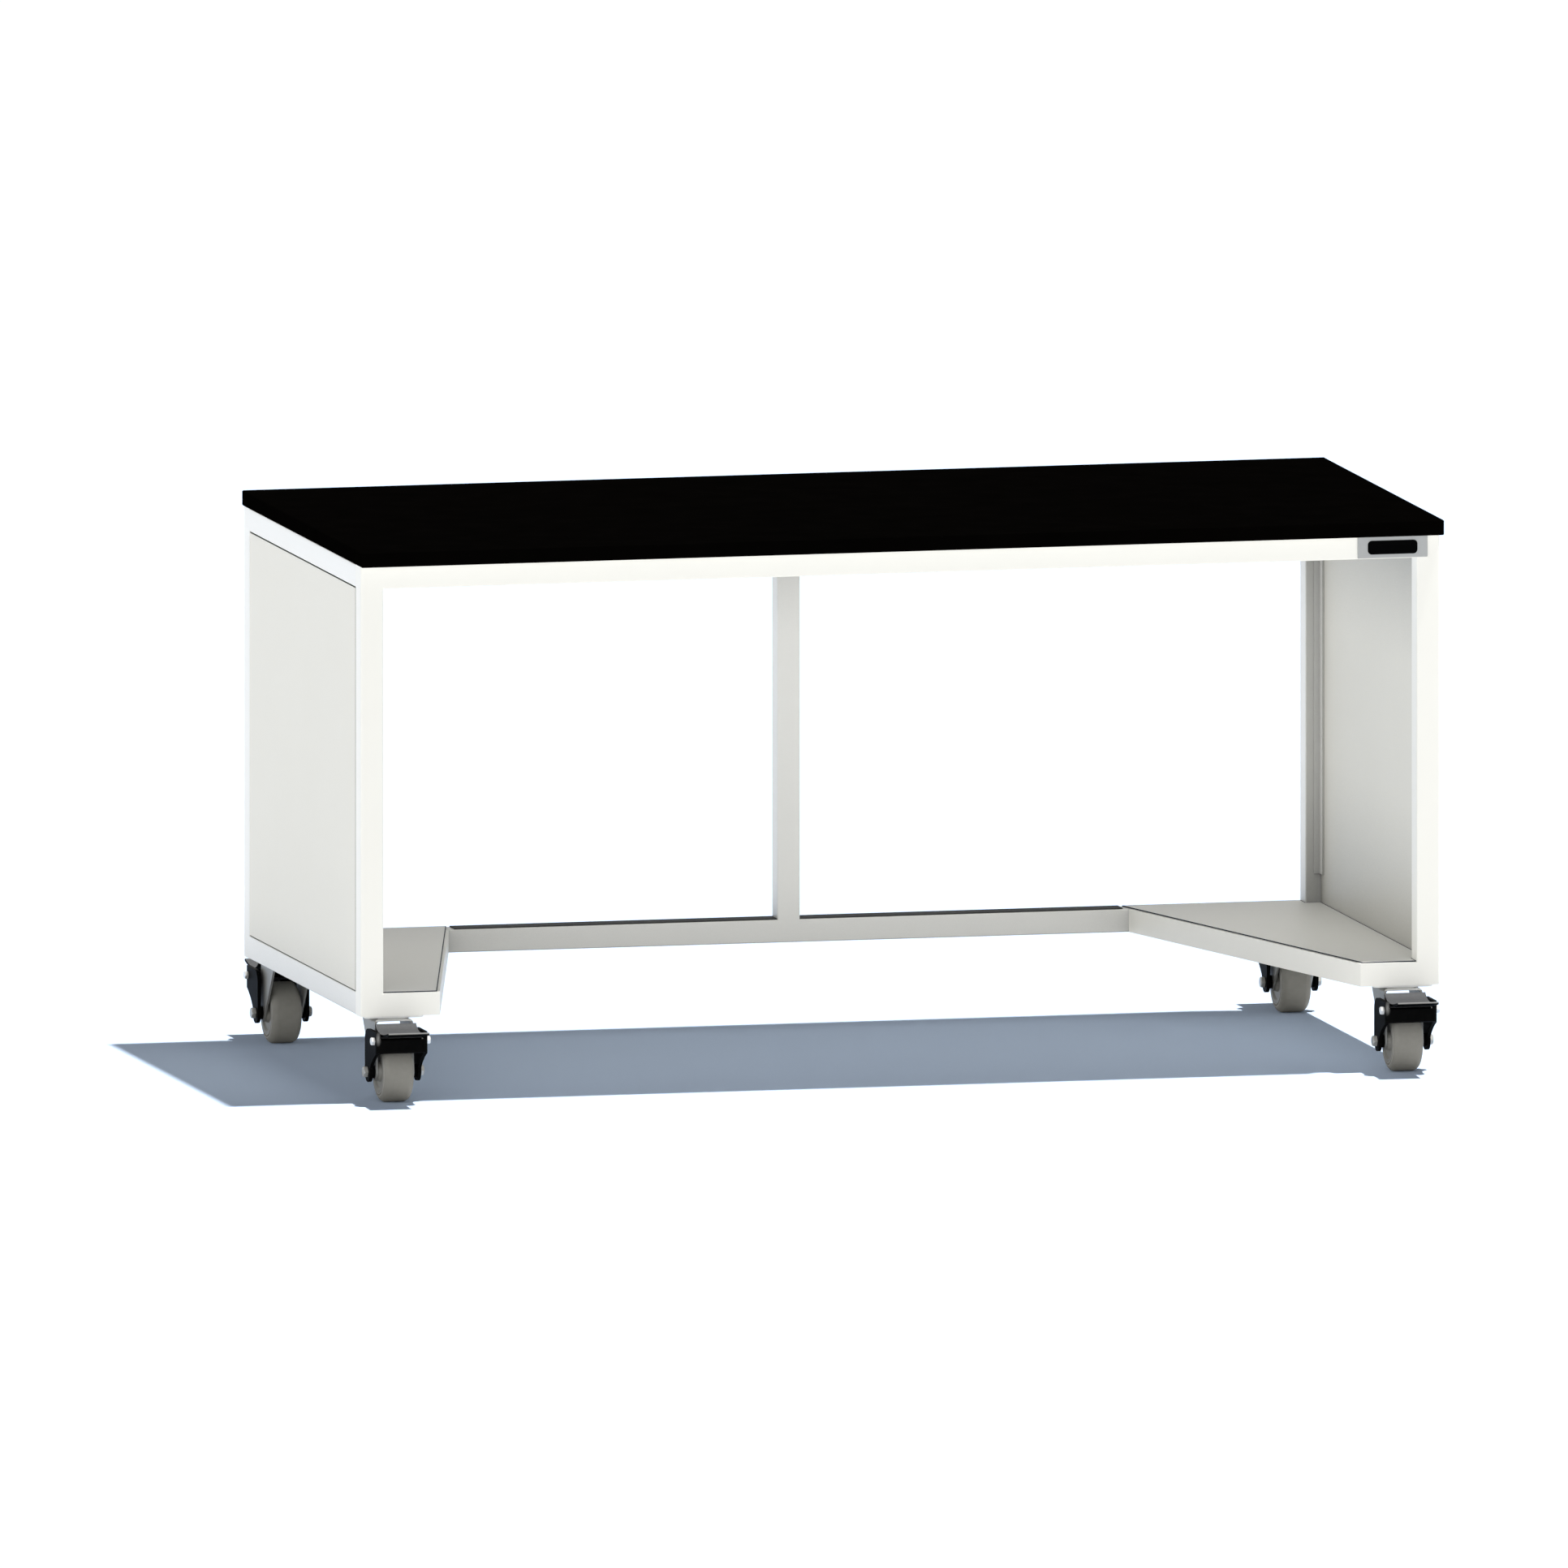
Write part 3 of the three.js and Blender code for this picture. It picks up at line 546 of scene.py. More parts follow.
def rounded(half_width, half_height, corner, steps):
    """The outline of a rectangle with round corners, about its middle."""
    outline = []
    for across, up, start in ((1, 1, 0), (-1, 1, 90), (-1, -1, 180), (1, -1, 270)):
        centre = (across * (half_width - corner), up * (half_height - corner))
        outline += arc(centre, corner, start, start + 90, steps)
    return outline


def drum(radius, across, place, steps=32):
    """A round bar, or the hole for one, from one place along its axis to another."""
    return prism(arc((0, 0), radius, 0, 360 - 360 / steps, steps - 1), across[0], across[1], place)


print("solid helpers: prism, turned, arc, rounded, drum")

# %% [markdown]
# Booleans and bevels are modifiers. Applying them at once, by taking the evaluated mesh, leaves
# a plain mesh that all four casters can share. After a bevel, weighted normals keep the large
# faces flat and let only the small rounded ones shade. A mesh may hold more than one material, and
# each face says which it wears, so a worn lip or a pale crown needs no piece of its own.

# %% Joining helpers
SHARP_FROM = radians(32)
BEVEL_FROM = radians(35)


def applied(piece, name):
    """The mesh of a piece with its modifiers applied; the piece itself is removed."""
    bpy.context.view_layer.update()
    evaluated = piece.evaluated_get(bpy.context.evaluated_depsgraph_get())
    mesh = bpy.data.meshes.new_from_object(evaluated)
    mesh.name = name
    bpy.data.objects.remove(piece)
    return mesh


def combined(base, operation, *others):
    """Joins, cuts or intersects a base solid with others, which are used up."""
    for other in others:
        modifier = base.modifiers.new("combine", "BOOLEAN")
        modifier.operation = operation
        modifier.solver = "EXACT"
        modifier.object = other
    mesh = applied(base, "combined")
    for other in others:
        bpy.data.objects.remove(other)
    piece = bpy.data.objects.new("combined", mesh)
    bpy.context.scene.collection.objects.link(piece)
    return piece


def eased(piece, name, width, steps=2):
    """The finished mesh, with its sharp edges rounded and its faces shaded smooth."""
    piece.data.shade_smooth()
    piece.data.set_sharp_from_angle(angle=SHARP_FROM)
    if width > 0:
        bevel = piece.modifiers.new("ease", "BEVEL")
        bevel.width = width
        bevel.segments = steps
        bevel.limit_method = "ANGLE"
        bevel.angle_limit = BEVEL_FROM
        bevel.use_clamp_overlap = True
    flat = piece.modifiers.new("flat", "WEIGHTED_NORMAL")
    flat.keep_sharp = True
    return applied(piece, name)


def paint_faces(mesh, base, *worn):
    """One material for all faces, then others where a test of centre and normal holds."""
    mesh.materials.append(base)
    for index, (material, test) in enumerate(worn, 1):
        mesh.materials.append(material)
        for face in mesh.polygons:
            if test(face.center, face.normal):
                face.material_index = index


print("joining helpers: combined, eased, paint_faces")

# %% [markdown]
# The caster's places repeat those of the solids, in metres. Some are read from the frame's own
# boxes, so the pieces sit exactly where the solids do. The five small functions turn a point of one
# view, from the side, the front or above, into a place in the caster's own frame.

# %% Caster places
tread_low, tread_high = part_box("front_left_tread")
pin = {joint["name"]: Vector(joint["pos_m"]) for joint in frame["joints"]}
king = pin["front_left_swivel_turn"]
axle = pin["front_left_wheel_roll"]
pivot = pin["front_left_pedal_press"]
TRAIL = king.y - axle.y
AXLE_Z = axle.z
PIVOT_F = king.y - pivot.y
PIVOT_Z = pivot.z
WHEEL_HALF = (tread_high.x - tread_low.x) / 2
WHEEL_GAP = 3.4 * MM
FORK_SHEET = 3.5 * MM
HOUSING_GAP = 5.5 * MM
HOUSING_WALL = 6 * MM
FORK_IN = WHEEL_HALF + WHEEL_GAP
FORK_OUT = FORK_IN + FORK_SHEET
HOUSING_IN = FORK_OUT + HOUSING_GAP
HOUSING_OUT = HOUSING_IN + HOUSING_WALL
CROWN_TOP = 136.6 * MM
AXLE_BORE = 6.3 * MM
PIVOT_BORE = 4.3 * MM
KING_BORE = 7.4 * MM
THROUGH = (-60 * MM, 60 * MM)
TOLERANCE = 0.1 * MM


def from_side(forward, up, across):
    return (across, -forward, up)


def from_front(across, up, forward):
    return (across, -forward, up)


def about_axle(forward, up, across):
    return (across, -TRAIL - forward, AXLE_Z + up)


def about_pivot(forward, up, across):
    return (across, -PIVOT_F - forward, PIVOT_Z + up)


def upright(forward, across, up):
    return (across, -forward, up)


print("axle", round(AXLE_Z, 4), "pivot", round(PIVOT_F, 4), round(PIVOT_Z, 4))

# %% [markdown]
# ## Wheel
#
# The tread is a thick grey tyre with round shoulders. Its edge ends in a small step before the
# core's rim, which shows in the picture as two pale arcs. A lathe profile with real arcs gives
# that line; a plain cylinder with a bevel wouldn't.

# %% Tread
SHOULDER_ACROSS = 11 * MM
SHOULDER_DEEP = 12 * MM
SHOULDER_END = 8
STEP_DEEP = 1.6 * MM
STEP_EDGE = 0.6 * MM
STEP_WIDTH = 1.6 * MM
BEAD_START = 1.8 * STEP_WIDTH
PALE_EDGE = 0.4 * MM
TREAD_INNER = AXLE_Z - 15 * MM
WHEEL_STEPS = 72


def both_sides(half):
    """A wheel's profile from the half of it on one side."""
    return half + [(radius, -across) for radius, across in reversed(half)]


def tread_mesh():
    crown = WHEEL_HALF - SHOULDER_ACROSS
    half = []
    for across, deep in arc((0, 0), 1, 90, SHOULDER_END, 10):
        half.append((AXLE_Z + SHOULDER_DEEP * (deep - 1), crown + SHOULDER_ACROSS * across))
    side = half[-1][0]
    sunk = WHEEL_HALF - STEP_DEEP
    half += [(side - STEP_EDGE, sunk), (side - STEP_WIDTH, sunk)]
    half += [(side - BEAD_START, WHEEL_HALF), (TREAD_INNER, WHEEL_HALF)]
    mesh = eased(turned(both_sides(half), WHEEL_STEPS, about_axle), "wheel_tread", 0)
    edge = WHEEL_HALF - PALE_EDGE
    paint_faces(mesh, tread_grey, (rim_pale, lambda centre, normal: abs(centre.x) > edge))
    return mesh


wheel_tread = tread_mesh()
print("tread:", len(wheel_tread.polygons), "faces")

# %% Core
CORE_GAP = 0.3 * MM
RIM_WALL = 5 * MM
RIM_CHAMFER = 1 * MM
DISH_DEEP = 3 * MM
DISH_SLOPE = 2 * MM
BOSS = 15 * MM
BOSS_CHAMFER = 1.5 * MM
BOSS_GAP = 0.4 * MM


def core_mesh():
    rim = TREAD_INNER - CORE_GAP
    web = rim - RIM_WALL
    dish = WHEEL_HALF - DISH_DEEP
    end = FORK_IN - BOSS_GAP
    half = [(AXLE_BORE, end), (BOSS - BOSS_CHAMFER, end), (BOSS, end - BOSS_CHAMFER)]
    half += [(BOSS + DISH_SLOPE, dish), (web - DISH_SLOPE, dish), (web, WHEEL_HALF - RIM_CHAMFER)]
    half += [(web + RIM_CHAMFER, WHEEL_HALF), (rim, WHEEL_HALF)]
    mesh = eased(turned(both_sides(half), WHEEL_STEPS, about_axle), "wheel_core", 0)
    paint_faces(mesh, core_grey)
    return mesh


wheel_core = core_mesh()
print("core:", len(wheel_core.polygons), "faces")

# %% [markdown]
# ## Fork
#
# The fork is one strip of steel, bent over the wheel and tapering to a round end at the axle.
# The channel's bends show in one view and the taper in another, so two prisms, one along each
# view, are intersected. That is how a sheet-metal shop would draw it too. The bores for the axle
# and the kingpin are cut last, a little wider than their pins.

# %% Fork outlines
FORK_BEND = 7 * MM
FORK_HALF = 44 * MM
FORK_END = 15 * MM
FORK_EASE = 0.7 * MM
CHANNEL_LENGTH = (-120 * MM, 120 * MM)
KING_CUT = (120 * MM, 150 * MM)
PALE_MARGIN = 3 * MM


def fork_channel():
    low = AXLE_Z - FORK_END
    outer = arc((FORK_OUT - FORK_BEND, CROWN_TOP - FORK_BEND), FORK_BEND, 0, 90, 8)
    inner_bend = FORK_BEND - FORK_SHEET
    inner = arc((FORK_IN - inner_bend, CROWN_TOP - FORK_BEND), inner_bend, 90, 0, 6)
    right = [(FORK_OUT, low), *outer]
    left = [(-across, up) for across, up in reversed(right)]
    inside = [(-across, up) for across, up in reversed([*inner, (FORK_IN, low)])]
    outline = [*right, *left, *inside, *inner, (FORK_IN, low)]
    return prism(outline, *CHANNEL_LENGTH, from_front)


def fork_side():
    corner = FORK_SHEET
    top = CROWN_TOP
    slope_back = hypot(FORK_HALF + TRAIL, top - AXLE_Z)
    lean_back = atan2(top - AXLE_Z, -FORK_HALF - TRAIL) + atan2(FORK_END, slope_back)
    lean_front = atan2(top - AXLE_Z, FORK_HALF - TRAIL)
    start = lean_back * 180 / pi + 90
    end = lean_front * 180 / pi - 90
    outline = arc((TRAIL, AXLE_Z), FORK_END, start - 360 if start > end else start, end, 16)
    outline += [(FORK_HALF, top - corner), (FORK_HALF - corner, top)]
    outline += [(corner - FORK_HALF, top), (-FORK_HALF, top - corner)]
    return prism(outline, *THROUGH, from_side)


def on_crown(centre, normal):
    above = centre.z > CROWN_TOP - FORK_SHEET - TOLERANCE
    return above and abs(centre.x) < FORK_IN - PALE_MARGIN


print("fork outlines: channel and side")

# %% Fork
def fork_mesh():
    strip = combined(fork_channel(), "INTERSECT", fork_side())
    king_bore = drum(KING_BORE, KING_CUT, upright)
    strip = combined(strip, "DIFFERENCE", drum(AXLE_BORE, THROUGH, about_axle), king_bore)
    mesh = eased(strip, "caster_fork", FORK_EASE)
    paint_faces(mesh, zinc_grey, (head_pale, on_crown))
    return mesh


fork = fork_mesh()
print("fork:", len(fork.polygons), "faces")

# %% [markdown]
# ## Brake housing
#
# The black housing is a U in plan, with two side plates and a wall across the front whose corners
# are round; the left one carries a small painted highlight. Seen from the side it reaches from the
# axle, up and forward, to the pedal's pivot. Again two views are intersected, and then the wall is
# cut down so that the pedal has room to swing.

# %% Housing outlines
HOUSING_END = 17 * MM
HOUSING_FRONT = PIVOT_F + 16 * MM
HOUSING_LOW = PIVOT_Z - 18 * MM
HOUSING_HIGH = PIVOT_Z + 15 * MM
WALL_HIGH = PIVOT_Z + 3 * MM
FRONT_CORNER = 9 * MM
TOP_CORNER = 6 * MM
BACK_CROWN = 20 * MM
HOUSING_SAG = 12 * MM
HOUSING_EASE = 0.9 * MM
PLAN_HEIGHT = (20 * MM, 130 * MM)
WALL_CUT = (60 * MM, 140 * MM)
CUT_TOP = 140 * MM
HUB = 11 * MM
HUB_GAP = 0.3 * MM
HUB_SUNK = 3 * MM


def bow(start, control, end, steps):
    """Points of a quadratic curve, without its first point."""
    points = []
    for step in range(1, steps + 1):
        t = step / steps
        points.append(tuple(
            (1 - t) ** 2 * a + 2 * t * (1 - t) * b + t ** 2 * c for a, b, c in zip(start, control, end)))
    return points


def housing_side():
    back = TRAIL - HOUSING_END
    outline = arc((TRAIL, AXLE_Z), HOUSING_END, -180, 20, 14)
    bend = (PIVOT_F - HOUSING_END, HOUSING_LOW - HOUSING_SAG)
    outline += bow(outline[-1], bend, (HOUSING_FRONT, HOUSING_LOW), 10)
    outline += arc((HOUSING_FRONT - TOP_CORNER, HOUSING_HIGH - TOP_CORNER), TOP_CORNER, 0, 90, 6)
    outline += arc((back + BACK_CROWN, HOUSING_HIGH - BACK_CROWN), BACK_CROWN, 90, 180, 9)
    return prism(outline, *THROUGH, from_side)


def housing_plan():
    inner_corner = FRONT_CORNER - HOUSING_WALL
    inner_front = HOUSING_FRONT - HOUSING_WALL
    corner = (HOUSING_OUT - FRONT_CORNER, HOUSING_FRONT - FRONT_CORNER)
    right = [(0.0, HOUSING_OUT)]
    right += [(forward, across) for across, forward in arc(corner, FRONT_CORNER, 0, 90, 7)]
    bend = (HOUSING_IN - inner_corner, inner_front - inner_corner)
    inside = [(forward, across) for across, forward in arc(bend, inner_corner, 90, 0, 4)]
    inside += [(0.0, HOUSING_IN)]
    left = [(forward, -across) for forward, across in reversed(right)]
    inside_left = [(forward, -across) for forward, across in reversed(inside)]
    return prism([*right, *left, *inside_left, *inside], *PLAN_HEIGHT, upright)


print("housing outlines: side and plan")

# %% Brake housing
def box_of(forward, across, up):
    outline = [(forward[0], up[0]), (forward[1], up[0]), (forward[1], up[1]), (forward[0], up[1])]
    return prism(outline, across[0], across[1], from_side)


def housing_mesh():
    shell = combined(housing_plan(), "INTERSECT", housing_side())
    above_wall = box_of(WALL_CUT, (-HOUSING_IN, HOUSING_IN), (WALL_HIGH, CUT_TOP))
    shell = combined(shell, "DIFFERENCE", above_wall)
    near = FORK_OUT + HUB_GAP
    far = HOUSING_IN + HUB_SUNK
    hubs = [drum(HUB, (near, far), about_axle), drum(HUB, (-far, -near), about_axle)]
    shell = combined(shell, "UNION", *hubs)
    bores = [drum(AXLE_BORE, THROUGH, about_axle), drum(PIVOT_BORE, THROUGH, about_pivot)]
    mesh = eased(combined(shell, "DIFFERENCE", *bores), "brake_housing", HOUSING_EASE)
    # The housing's material carries the painted highlight on its left corner.
    paint_faces(mesh, corner_highlight_black)
    return mesh


brake_housing = housing_mesh()
print("housing:", len(brake_housing.polygons), "faces")

# %% [markdown]
# ## Brake pedal
#
# The pedal is a scooped plate that a foot pushes down. It hangs on a barrel round the pivot bolt,
# and a shoe under it comes near the wheel. Its curve runs from the high back edge through the dip
# to the lip, so the same curve, moved down by the sheet's thickness, closes the outline. Its
# up-facing faces are a lighter grey, as painted light, and the rounded edge of the lip is paler
# still, as a painted highlight.

# %% Pedal outline
PEDAL_GAP = 3.3 * MM
PEDAL_HALF = HOUSING_IN - PEDAL_GAP
PEDAL_SHEET = 4.5 * MM
PEDAL_BACK = (-35 * MM, 24 * MM)
PEDAL_LIP = (61 * MM, 19.5 * MM)
PEDAL_DIP = 12 * MM
PEDAL_EASE = 0.9 * MM
BARREL = 8.5 * MM
BARREL_GAP = 0.3 * MM
SHOE_ROUND = 4.2 * MM
SHOE_HALF = 9 * MM
SHOE_SHORT = 5.4 * MM
SHOE_LEAD = radians(12)
UP_LEAN = 0.5
LIP_LEAN = 0.15


def pedal_outline():
    middle = -(PEDAL_BACK[0] + PEDAL_LIP[0]) / 2
    dip = 2 * PEDAL_DIP - (PEDAL_BACK[1] + PEDAL_LIP[1]) / 2
    nose = PEDAL_SHEET / 2
    start = (PEDAL_BACK[0] + nose, PEDAL_BACK[1])
    end = (PEDAL_LIP[0] - nose, PEDAL_LIP[1])
    upper = [start, *bow(start, (middle, dip), end, 18)]
    lower = [(forward, up - PEDAL_SHEET) for forward, up in reversed(upper)]
    front = arc((end[0], end[1] - nose), nose, 90, -90, 8)[1:-1]
    back = arc((start[0], start[1] - nose), nose, -90, -270, 8)[1:-1]
    return [*upper, *front, *lower, *back]


# Faces that point up, which carry the painted light.
def facing_up(centre, normal):
    return normal.z > UP_LEAN


# Faces along the lip's rounded edge, which carry the painted highlight.
def on_lip(centre, normal):
    forward = -centre.y - PIVOT_F
    return forward > PEDAL_LIP[0] - PEDAL_SHEET / 2 and normal.z > LIP_LEAN


print("pedal outline:", len(pedal_outline()), "points")

# %% Pedal
def brake_shoe():
    """A round-nosed bar from the pivot towards the axle, which ends short of the tread."""
    reach = hypot(PIVOT_F - TRAIL, PIVOT_Z - AXLE_Z) - AXLE_Z - SHOE_SHORT
    lead = atan2(AXLE_Z - PIVOT_Z, TRAIL - PIVOT_F) + SHOE_LEAD
    tip = (reach * cos(lead), reach * sin(lead))
    side = (-sin(lead) * SHOE_ROUND, cos(lead) * SHOE_ROUND)
    heading = lead * 180 / pi
    nose = arc(tip, SHOE_ROUND, heading - 90, heading + 90, 8)
    outline = [(-side[0], -side[1]), *nose, side]
    return prism(outline, -SHOE_HALF, SHOE_HALF, about_pivot)


def pedal_mesh():
    plate = prism(pedal_outline(), -PEDAL_HALF, PEDAL_HALF, about_pivot)
    barrel = drum(BARREL, (BARREL_GAP - PEDAL_HALF, PEDAL_HALF - BARREL_GAP), about_pivot)
    solid = combined(plate, "UNION", barrel, brake_shoe())
    bore = drum(PIVOT_BORE, THROUGH, about_pivot)
    mesh = eased(combined(solid, "DIFFERENCE", bore), "brake_pedal", PEDAL_EASE)
    paint_faces(mesh, brake_black, (pedal_top_lit, facing_up), (lip_highlight, on_lip))
    return mesh


brake_pedal = pedal_mesh()
print("pedal:", len(brake_pedal.polygons), "faces")

# %% [markdown]
# ## Bolts
#
# A bolt that is only a hexagonal prism looks cut from wood. Real heads are chamfered by turning,
# so the hexagon is intersected with a turned barrel that is a little narrower at its face.

# %% Bolts
BOLT_GAP = 0.3 * MM
BOLT_EASE = 0.25 * MM
CHAMFER_SHARE = 0.22
FACE_SHARE = 0.8


def bolt_end(side, inside, head, height, place):
    """A chamfered hexagon on one side."""
    root = side * inside
    face = side * (inside + height)
    shoulder = side * (inside + height - CHAMFER_SHARE * head)
    hexagon = prism(arc((0, 0), head, 0, 300, 5), root, face, place)
    barrel = [(head, root), (head, shoulder), (FACE_SHARE * head, face)]
    return combined(hexagon, "INTERSECT", turned(barrel, 48, place, ring=False))


def bolt_mesh(name, shank, head, height, place, material):
    inside = HOUSING_OUT + BOLT_GAP
    ends = [bolt_end(side, inside, head, height, place) for side in (-1, 1)]
    body = drum(shank, (-inside - 0.5 * height, inside + 0.5 * height), place)
    mesh = eased(combined(body, "UNION", *ends), name, BOLT_EASE)
    paint_faces(mesh, material)
    return mesh


axle_bolt = bolt_mesh(
    "axle_bolt", shank=6 * MM, head=9.5 * MM, height=7 * MM, place=about_axle, material=nut_grey)
pivot_bolt = bolt_mesh(
    "pivot_bolt", shank=4 * MM, head=7 * MM, height=6 * MM, place=about_pivot, material=bolt_bright)
print("bolts:", len(axle_bolt.polygons), "+", len(pivot_bolt.polygons), "faces")

# %% [markdown]
# ## Head plate
#
# Above the fork is a square plate with round corners, welded under the frame. Under it the ball
# race is a shallow pressed dish, and the kingpin goes down through the fork's crown. In the picture
# only the dish's pale front edge shows, so the plate and the race are one solid with that edge.

# %% Head plate
HEAD_TOP = 142.6 * MM
HEAD_SHEET = 3.2 * MM
HEAD_HALF = 50 * MM
HEAD_CORNER = 10 * MM
HEAD_EASE = 0.4 * MM
RACE_LOW = 137.0 * MM
RACE_FLAT = 43 * MM
RACE_BEND = 45.4 * MM
RACE_OUT = 46 * MM
RACE_RISE = 0.8 * MM
RACE_INTO_PLATE = 1 * MM
KINGPIN = 7 * MM
KING_NUT = 12 * MM
KING_NUT_HEIGHT = 3 * MM
KING_NUT_GAP = 0.4 * MM


def head_mesh():
    under = HEAD_TOP - HEAD_SHEET
    plate = prism(rounded(HEAD_HALF, HEAD_HALF, HEAD_CORNER, 8), under, HEAD_TOP, upright)
    nut_top = CROWN_TOP - FORK_SHEET - KING_NUT_GAP
    profile = [(KING_NUT, nut_top - KING_NUT_HEIGHT), (KING_NUT, nut_top), (KINGPIN, nut_top)]
    profile += [(KINGPIN, RACE_LOW), (RACE_FLAT, RACE_LOW), (RACE_BEND, RACE_LOW + RACE_RISE)]
    profile += [(RACE_OUT, under + RACE_INTO_PLATE)]
    race = turned(profile, 64, upright, ring=False)
    mesh = eased(combined(plate, "UNION", race), "head_plate", HEAD_EASE)
    paint_faces(mesh, head_pale)
    return mesh


head_plate = head_mesh()
print("head plate:", len(head_plate.polygons), "faces")

# %% [markdown]
# ## Setting the casters
#
# All four casters share these meshes. An object's matrix puts each one at its own kingpin, and the
# rear pair turns half round, because their pedals face the rear. Each piece rides on the body that
# carries it and stands for the plain solid of the same name.

# %% Place the casters
CASTER_PIECES = {
    "tread": (wheel_tread, "wheel"),
    "wheel_core": (wheel_core, "wheel"),
    "fork": (fork, "swivel"),
    "axle_bolt": (axle_bolt, "swivel"),
    "brake_housing": (brake_housing, "swivel"),
    "pivot_bolt": (pivot_bolt, "swivel"),
    "brake_pedal": (brake_pedal, "pedal"),
    "head_plate": (head_plate, "bench"),
}


def place_caster(caster):
    kingpin = pin[f"{caster}_swivel_turn"]
    turn = pi if caster.startswith("rear") else 0.0
    place = Matrix.Translation((kingpin.x, kingpin.y, 0)) @ Matrix.Rotation(turn, 4, "Z")
    for part, (mesh, body) in CASTER_PIECES.items():
        piece = bpy.data.objects.new(f"{caster}_{part}_form", mesh)
        bpy.context.scene.collection.objects.link(piece)
        piece.matrix_world = place
        node = f"{caster}_{part}"
        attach(piece, "bench" if body == "bench" else f"{caster}_{body}")
        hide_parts(node)


CASTERS = ("front_left", "front_right", "rear_left", "rear_right")
for caster in CASTERS:
    place_caster(caster)
print("casters placed:", len(CASTERS) * len(CASTER_PIECES), "pieces")

# %% [markdown]
# ## Ground welds
#
# The tubes of the real frame are welded and ground flush before painting, so no seam shows where
# a rail meets a post. The solids leave a hair's gap there, and the post's rounded edge makes it a
# groove. A thin square ring at each rail's end, a hair below the tube's face, fills the groove as
# a ground weld does. The rails lie along three axes, so one ring with a choice of axis serves all.

# %% Weld rings
TUBE_ROUND = 2 * MM
WELD_BELOW = 0.02 * MM
WELD_WALL = 2.5 * MM
WELD_INNER_ROUND = 0.5 * MM
WELD_STEPS = 3
WELD_INTO_RAIL = 0.2 * MM
WELD_INTO_POST = 2.6 * MM


def frame_ring(name, outer, inner, near, far, place):
    """A closed band between two outlines of as many points, from near to far."""
    count = len(outer)
    vertices = [place(u, v, along) for along in (near, far) for u, v in outer + inner]
    faces = []
    for first in range(count):
        second = (first + 1) % count
        faces.append((first, second, 2 * count + second, 2 * count + first))
        faces.append((count + first, count + second, 3 * count + second, 3 * count + first))
        faces.append((first, second, count + second, count + first))
        faces.append((2 * count + first, 2 * count + second, 3 * count + second, 3 * count + first))
    return new_object(name, vertices, faces)


def weld_ring(node, axis, side):
    low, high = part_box(node)
    middle = (low + high) / 2
    across, up = [other for other in range(3) if other != axis]
    half = (high[across] - low[across]) / 2 - WELD_BELOW
    end = high[axis] if side > 0 else low[axis]
    near = end - side * WELD_INTO_RAIL
    far = end + side * WELD_INTO_POST

    def place(u, v, along):
        point = [0.0, 0.0, 0.0]
        point[axis] = along
        point[across] = middle[across] + u
        point[up] = middle[up] + v
        return tuple(point)

    hole = half - WELD_WALL
    outer = rounded(half, half, TUBE_ROUND, WELD_STEPS)
    inner = rounded(hole, hole, WELD_INNER_ROUND, WELD_STEPS)
    end_name = "high" if side > 0 else "low"
    ring = frame_ring(f"{node}_{end_name}_weld", outer, inner, near, far, place)
    ring.data.materials.append(node_finish(node))
    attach(ring, "bench")


print("weld ring ready")

# %% Ground welds
WELD_STRIP = 1.2 * MM
FOOT_JOINT_BACK = 9.75 * MM
ALONG_X = 0
ALONG_Y = 1
ALONG_Z = 2
LOW_END = (-1,)
HIGH_END = (1,)
BOTH_ENDS = (-1, 1)
WELDED = {
    "front_top_rail": (ALONG_X, BOTH_ENDS),
    "rear_top_rail": (ALONG_X, BOTH_ENDS),
    "rear_base_rail": (ALONG_X, BOTH_ENDS),
    "left_foot_rail": (ALONG_X, LOW_END),
    "right_foot_rail": (ALONG_X, HIGH_END),
    "left_top_rail": (ALONG_Y, BOTH_ENDS),
    "right_top_rail": (ALONG_Y, BOTH_ENDS),
    "left_base_rail": (ALONG_Y, BOTH_ENDS),
    "right_base_rail": (ALONG_Y, BOTH_ENDS),
    "rear_center_post": (ALONG_Z, BOTH_ENDS),
}


def foot_weld(node, side):
    """A thin upright strip over the joint of a foot's front rail and its diagonal."""
    low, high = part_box(node)
    joint = high.x if side < 0 else low.x
    joint += side * FOOT_JOINT_BACK
    outline = [(-WELD_STRIP, WELD_BELOW), (WELD_STRIP, WELD_BELOW)]
    outline += [(WELD_STRIP, WELD_WALL), (-WELD_STRIP, WELD_WALL)]
    bottom = low.z + WELD_BELOW
    top = high.z - WELD_BELOW
    strip = prism(outline, bottom, top, lambda u, v, along: (joint + u, low.y + v, along))
    strip.name = f"{node}_weld"
    strip.data.materials.append(frame_white)
    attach(strip, "bench")


foot_weld("left_foot_rail", -1)
foot_weld("right_foot_rail", 1)
welds = 2
for node, (axis, sides) in WELDED.items():
    for side in sides:
        weld_ring(node, axis, side)
        welds += 1
print("ground welds:", welds)

# %% [markdown]
# ## Deck shade line
#
# Each deck has a thin dark line all round: painted shade, a dark band where the sheet's edge
# meets the frame. The deck is stepped round its posts and slants along the diagonal, so its
# outline is best read from the solid itself: the edges of its top face that no second triangle
# shares, chained into a loop. The loop moved out and in by a millimetre or so bounds the band.

# %% Deck shade line
SHADE_LINE_OUT = 0.15 * MM
SHADE_LINE_IN = 1.3 * MM
SHADE_LINE_PROUD = 0.08 * MM


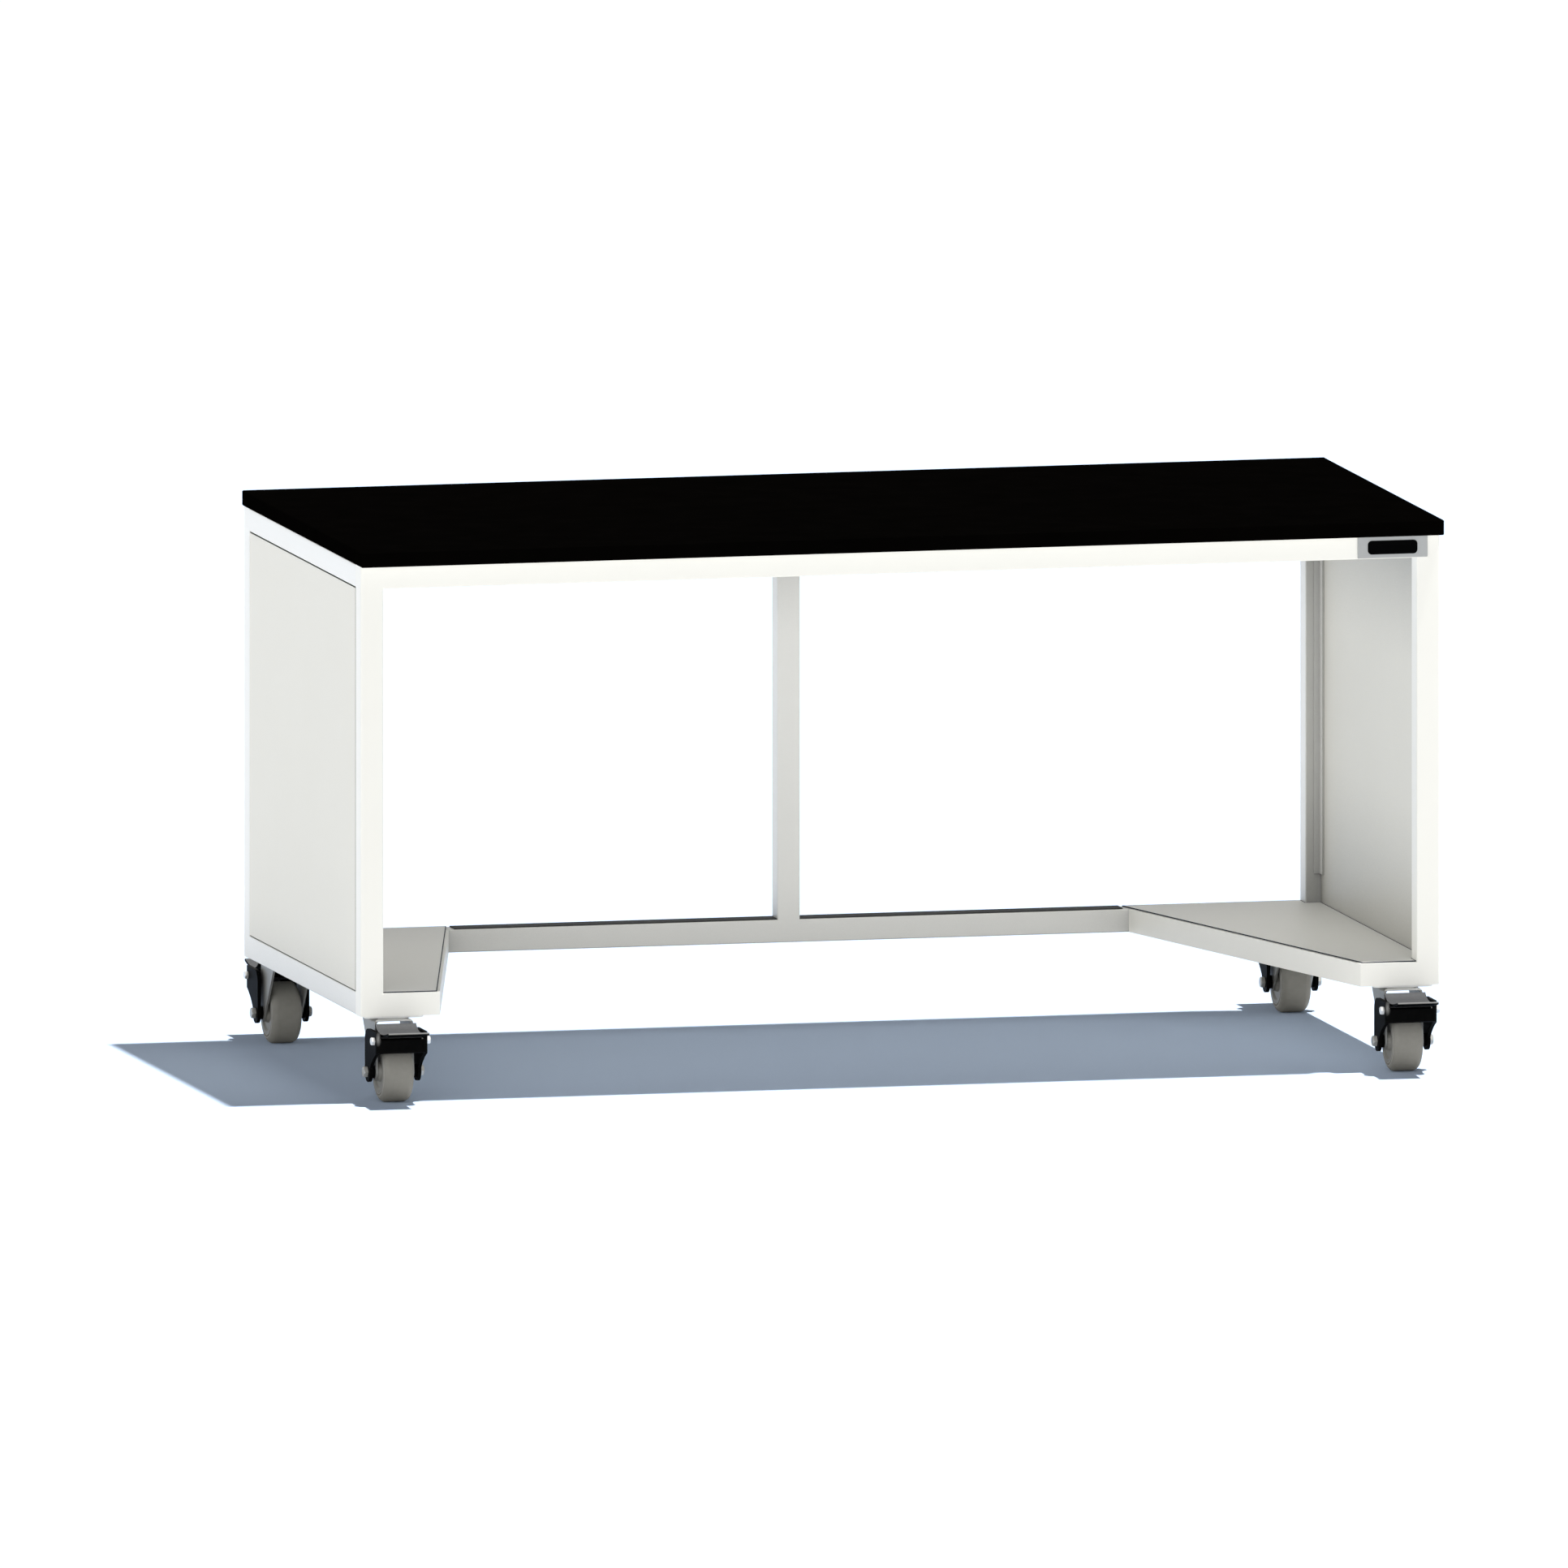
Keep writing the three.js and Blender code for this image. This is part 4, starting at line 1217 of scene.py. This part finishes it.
def top_loop(node):
    """The outline of a node's top face, as points from above."""
    piece = frame["nodes"][node]
    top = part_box(node)[1].z
    steps = set()
    for face in piece.data.polygons:
        points = [piece.matrix_world @ piece.data.vertices[index].co for index in face.vertices]
        if all(abs(point.z - top) < TOLERANCE for point in points):
            flat = [(round(point.x, 5), round(point.y, 5)) for point in points]
            steps.update(zip(flat, flat[1:] + flat[:1]))
    follow = {start: end for start, end in steps if (end, start) not in steps}
    loop = [next(iter(sorted(follow)))]
    while follow[loop[-1]] != loop[0]:
        loop.append(follow[loop[-1]])
    return loop


def grown(loop, distance):
    """The loop with each side moved outward; a negative distance moves it inward."""
    points = []
    for before, here, after in zip(loop[-1:] + loop[:-1], loop, loop[1:] + loop[:1]):
        arriving = (Vector(here) - Vector(before)).normalized()
        leaving = (Vector(after) - Vector(here)).normalized()
        sides = [Vector((way.y, -way.x)) for way in (arriving, leaving)]
        mitre = (sides[0] + sides[1]) / (1 + sides[0].dot(sides[1]))
        points.append(tuple(Vector(here) + distance * mitre))
    return points


# A dark band round the deck's top edge: painted shade.
def deck_shade_line(node):
    loop = top_loop(node)
    low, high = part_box(node)
    outer = grown(loop, SHADE_LINE_OUT)
    inner = grown(loop, -SHADE_LINE_IN)
    top = high.z + SHADE_LINE_PROUD
    shade_line = frame_ring(f"{node}_edging", outer, inner, low.z, top, lambda u, v, along: (u, v, along))
    shade_line.data.materials.append(deck_edge_shade)
    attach(shade_line, "bench")
    return len(loop)


corners = [deck_shade_line(node) for node in ("left_deck", "right_deck")]
print("deck edging round", corners, "corners")

# %% [markdown]
# ## The plate's inlay
#
# The small plate on the front rail has a dark enamel field with a thin metal rim. It is bare.
# Two thin prisms, one a little larger and lower than the other, give the rim a real edge.

# %% Plate inlay
plate_low, plate_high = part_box("blank_plate")
INLAY_WIDTH = 84 * MM
INLAY_HEIGHT = 23 * MM
INLAY_CORNER = 7 * MM
RIM = 1.4 * MM
RIM_STAND = 0.25 * MM
INLAY_STAND = 0.5 * MM
PLATE_EASE = 0.08 * MM


def plate_field(name, grow, stand, material):
    middle = (plate_low + plate_high) / 2
    half_width = INLAY_WIDTH / 2 + grow
    half_height = INLAY_HEIGHT / 2 + grow
    outline = rounded(half_width, half_height, INLAY_CORNER + grow, 8)
    field = prism(outline, 0, stand, lambda u, v, out: (middle.x + u, plate_low.y - out, middle.z + v))
    mesh = eased(field, name, PLATE_EASE)
    mesh.materials.append(material)
    piece = bpy.data.objects.new(name, mesh)
    bpy.context.scene.collection.objects.link(piece)
    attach(piece, "bench")


plate_field("plate_rim", RIM, RIM_STAND, plate_metal)
plate_field("plate_inlay", 0, INLAY_STAND, brake_black)
print("plate inlay at", tuple(round(part, 3) for part in plate_low))

# %% [markdown]
# ## Sizes
#
# The dressed bench must keep the size of its solids. Both boxes are kept and printed, so that they
# can be compared.

# %% Sizes
dressed_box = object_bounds()
sizes = {
    "solids": [list(corner) for corner in solid_box],
    "dressed": [list(corner) for corner in dressed_box],
}
print("solids", sizes["solids"])
print("dressed", sizes["dressed"])
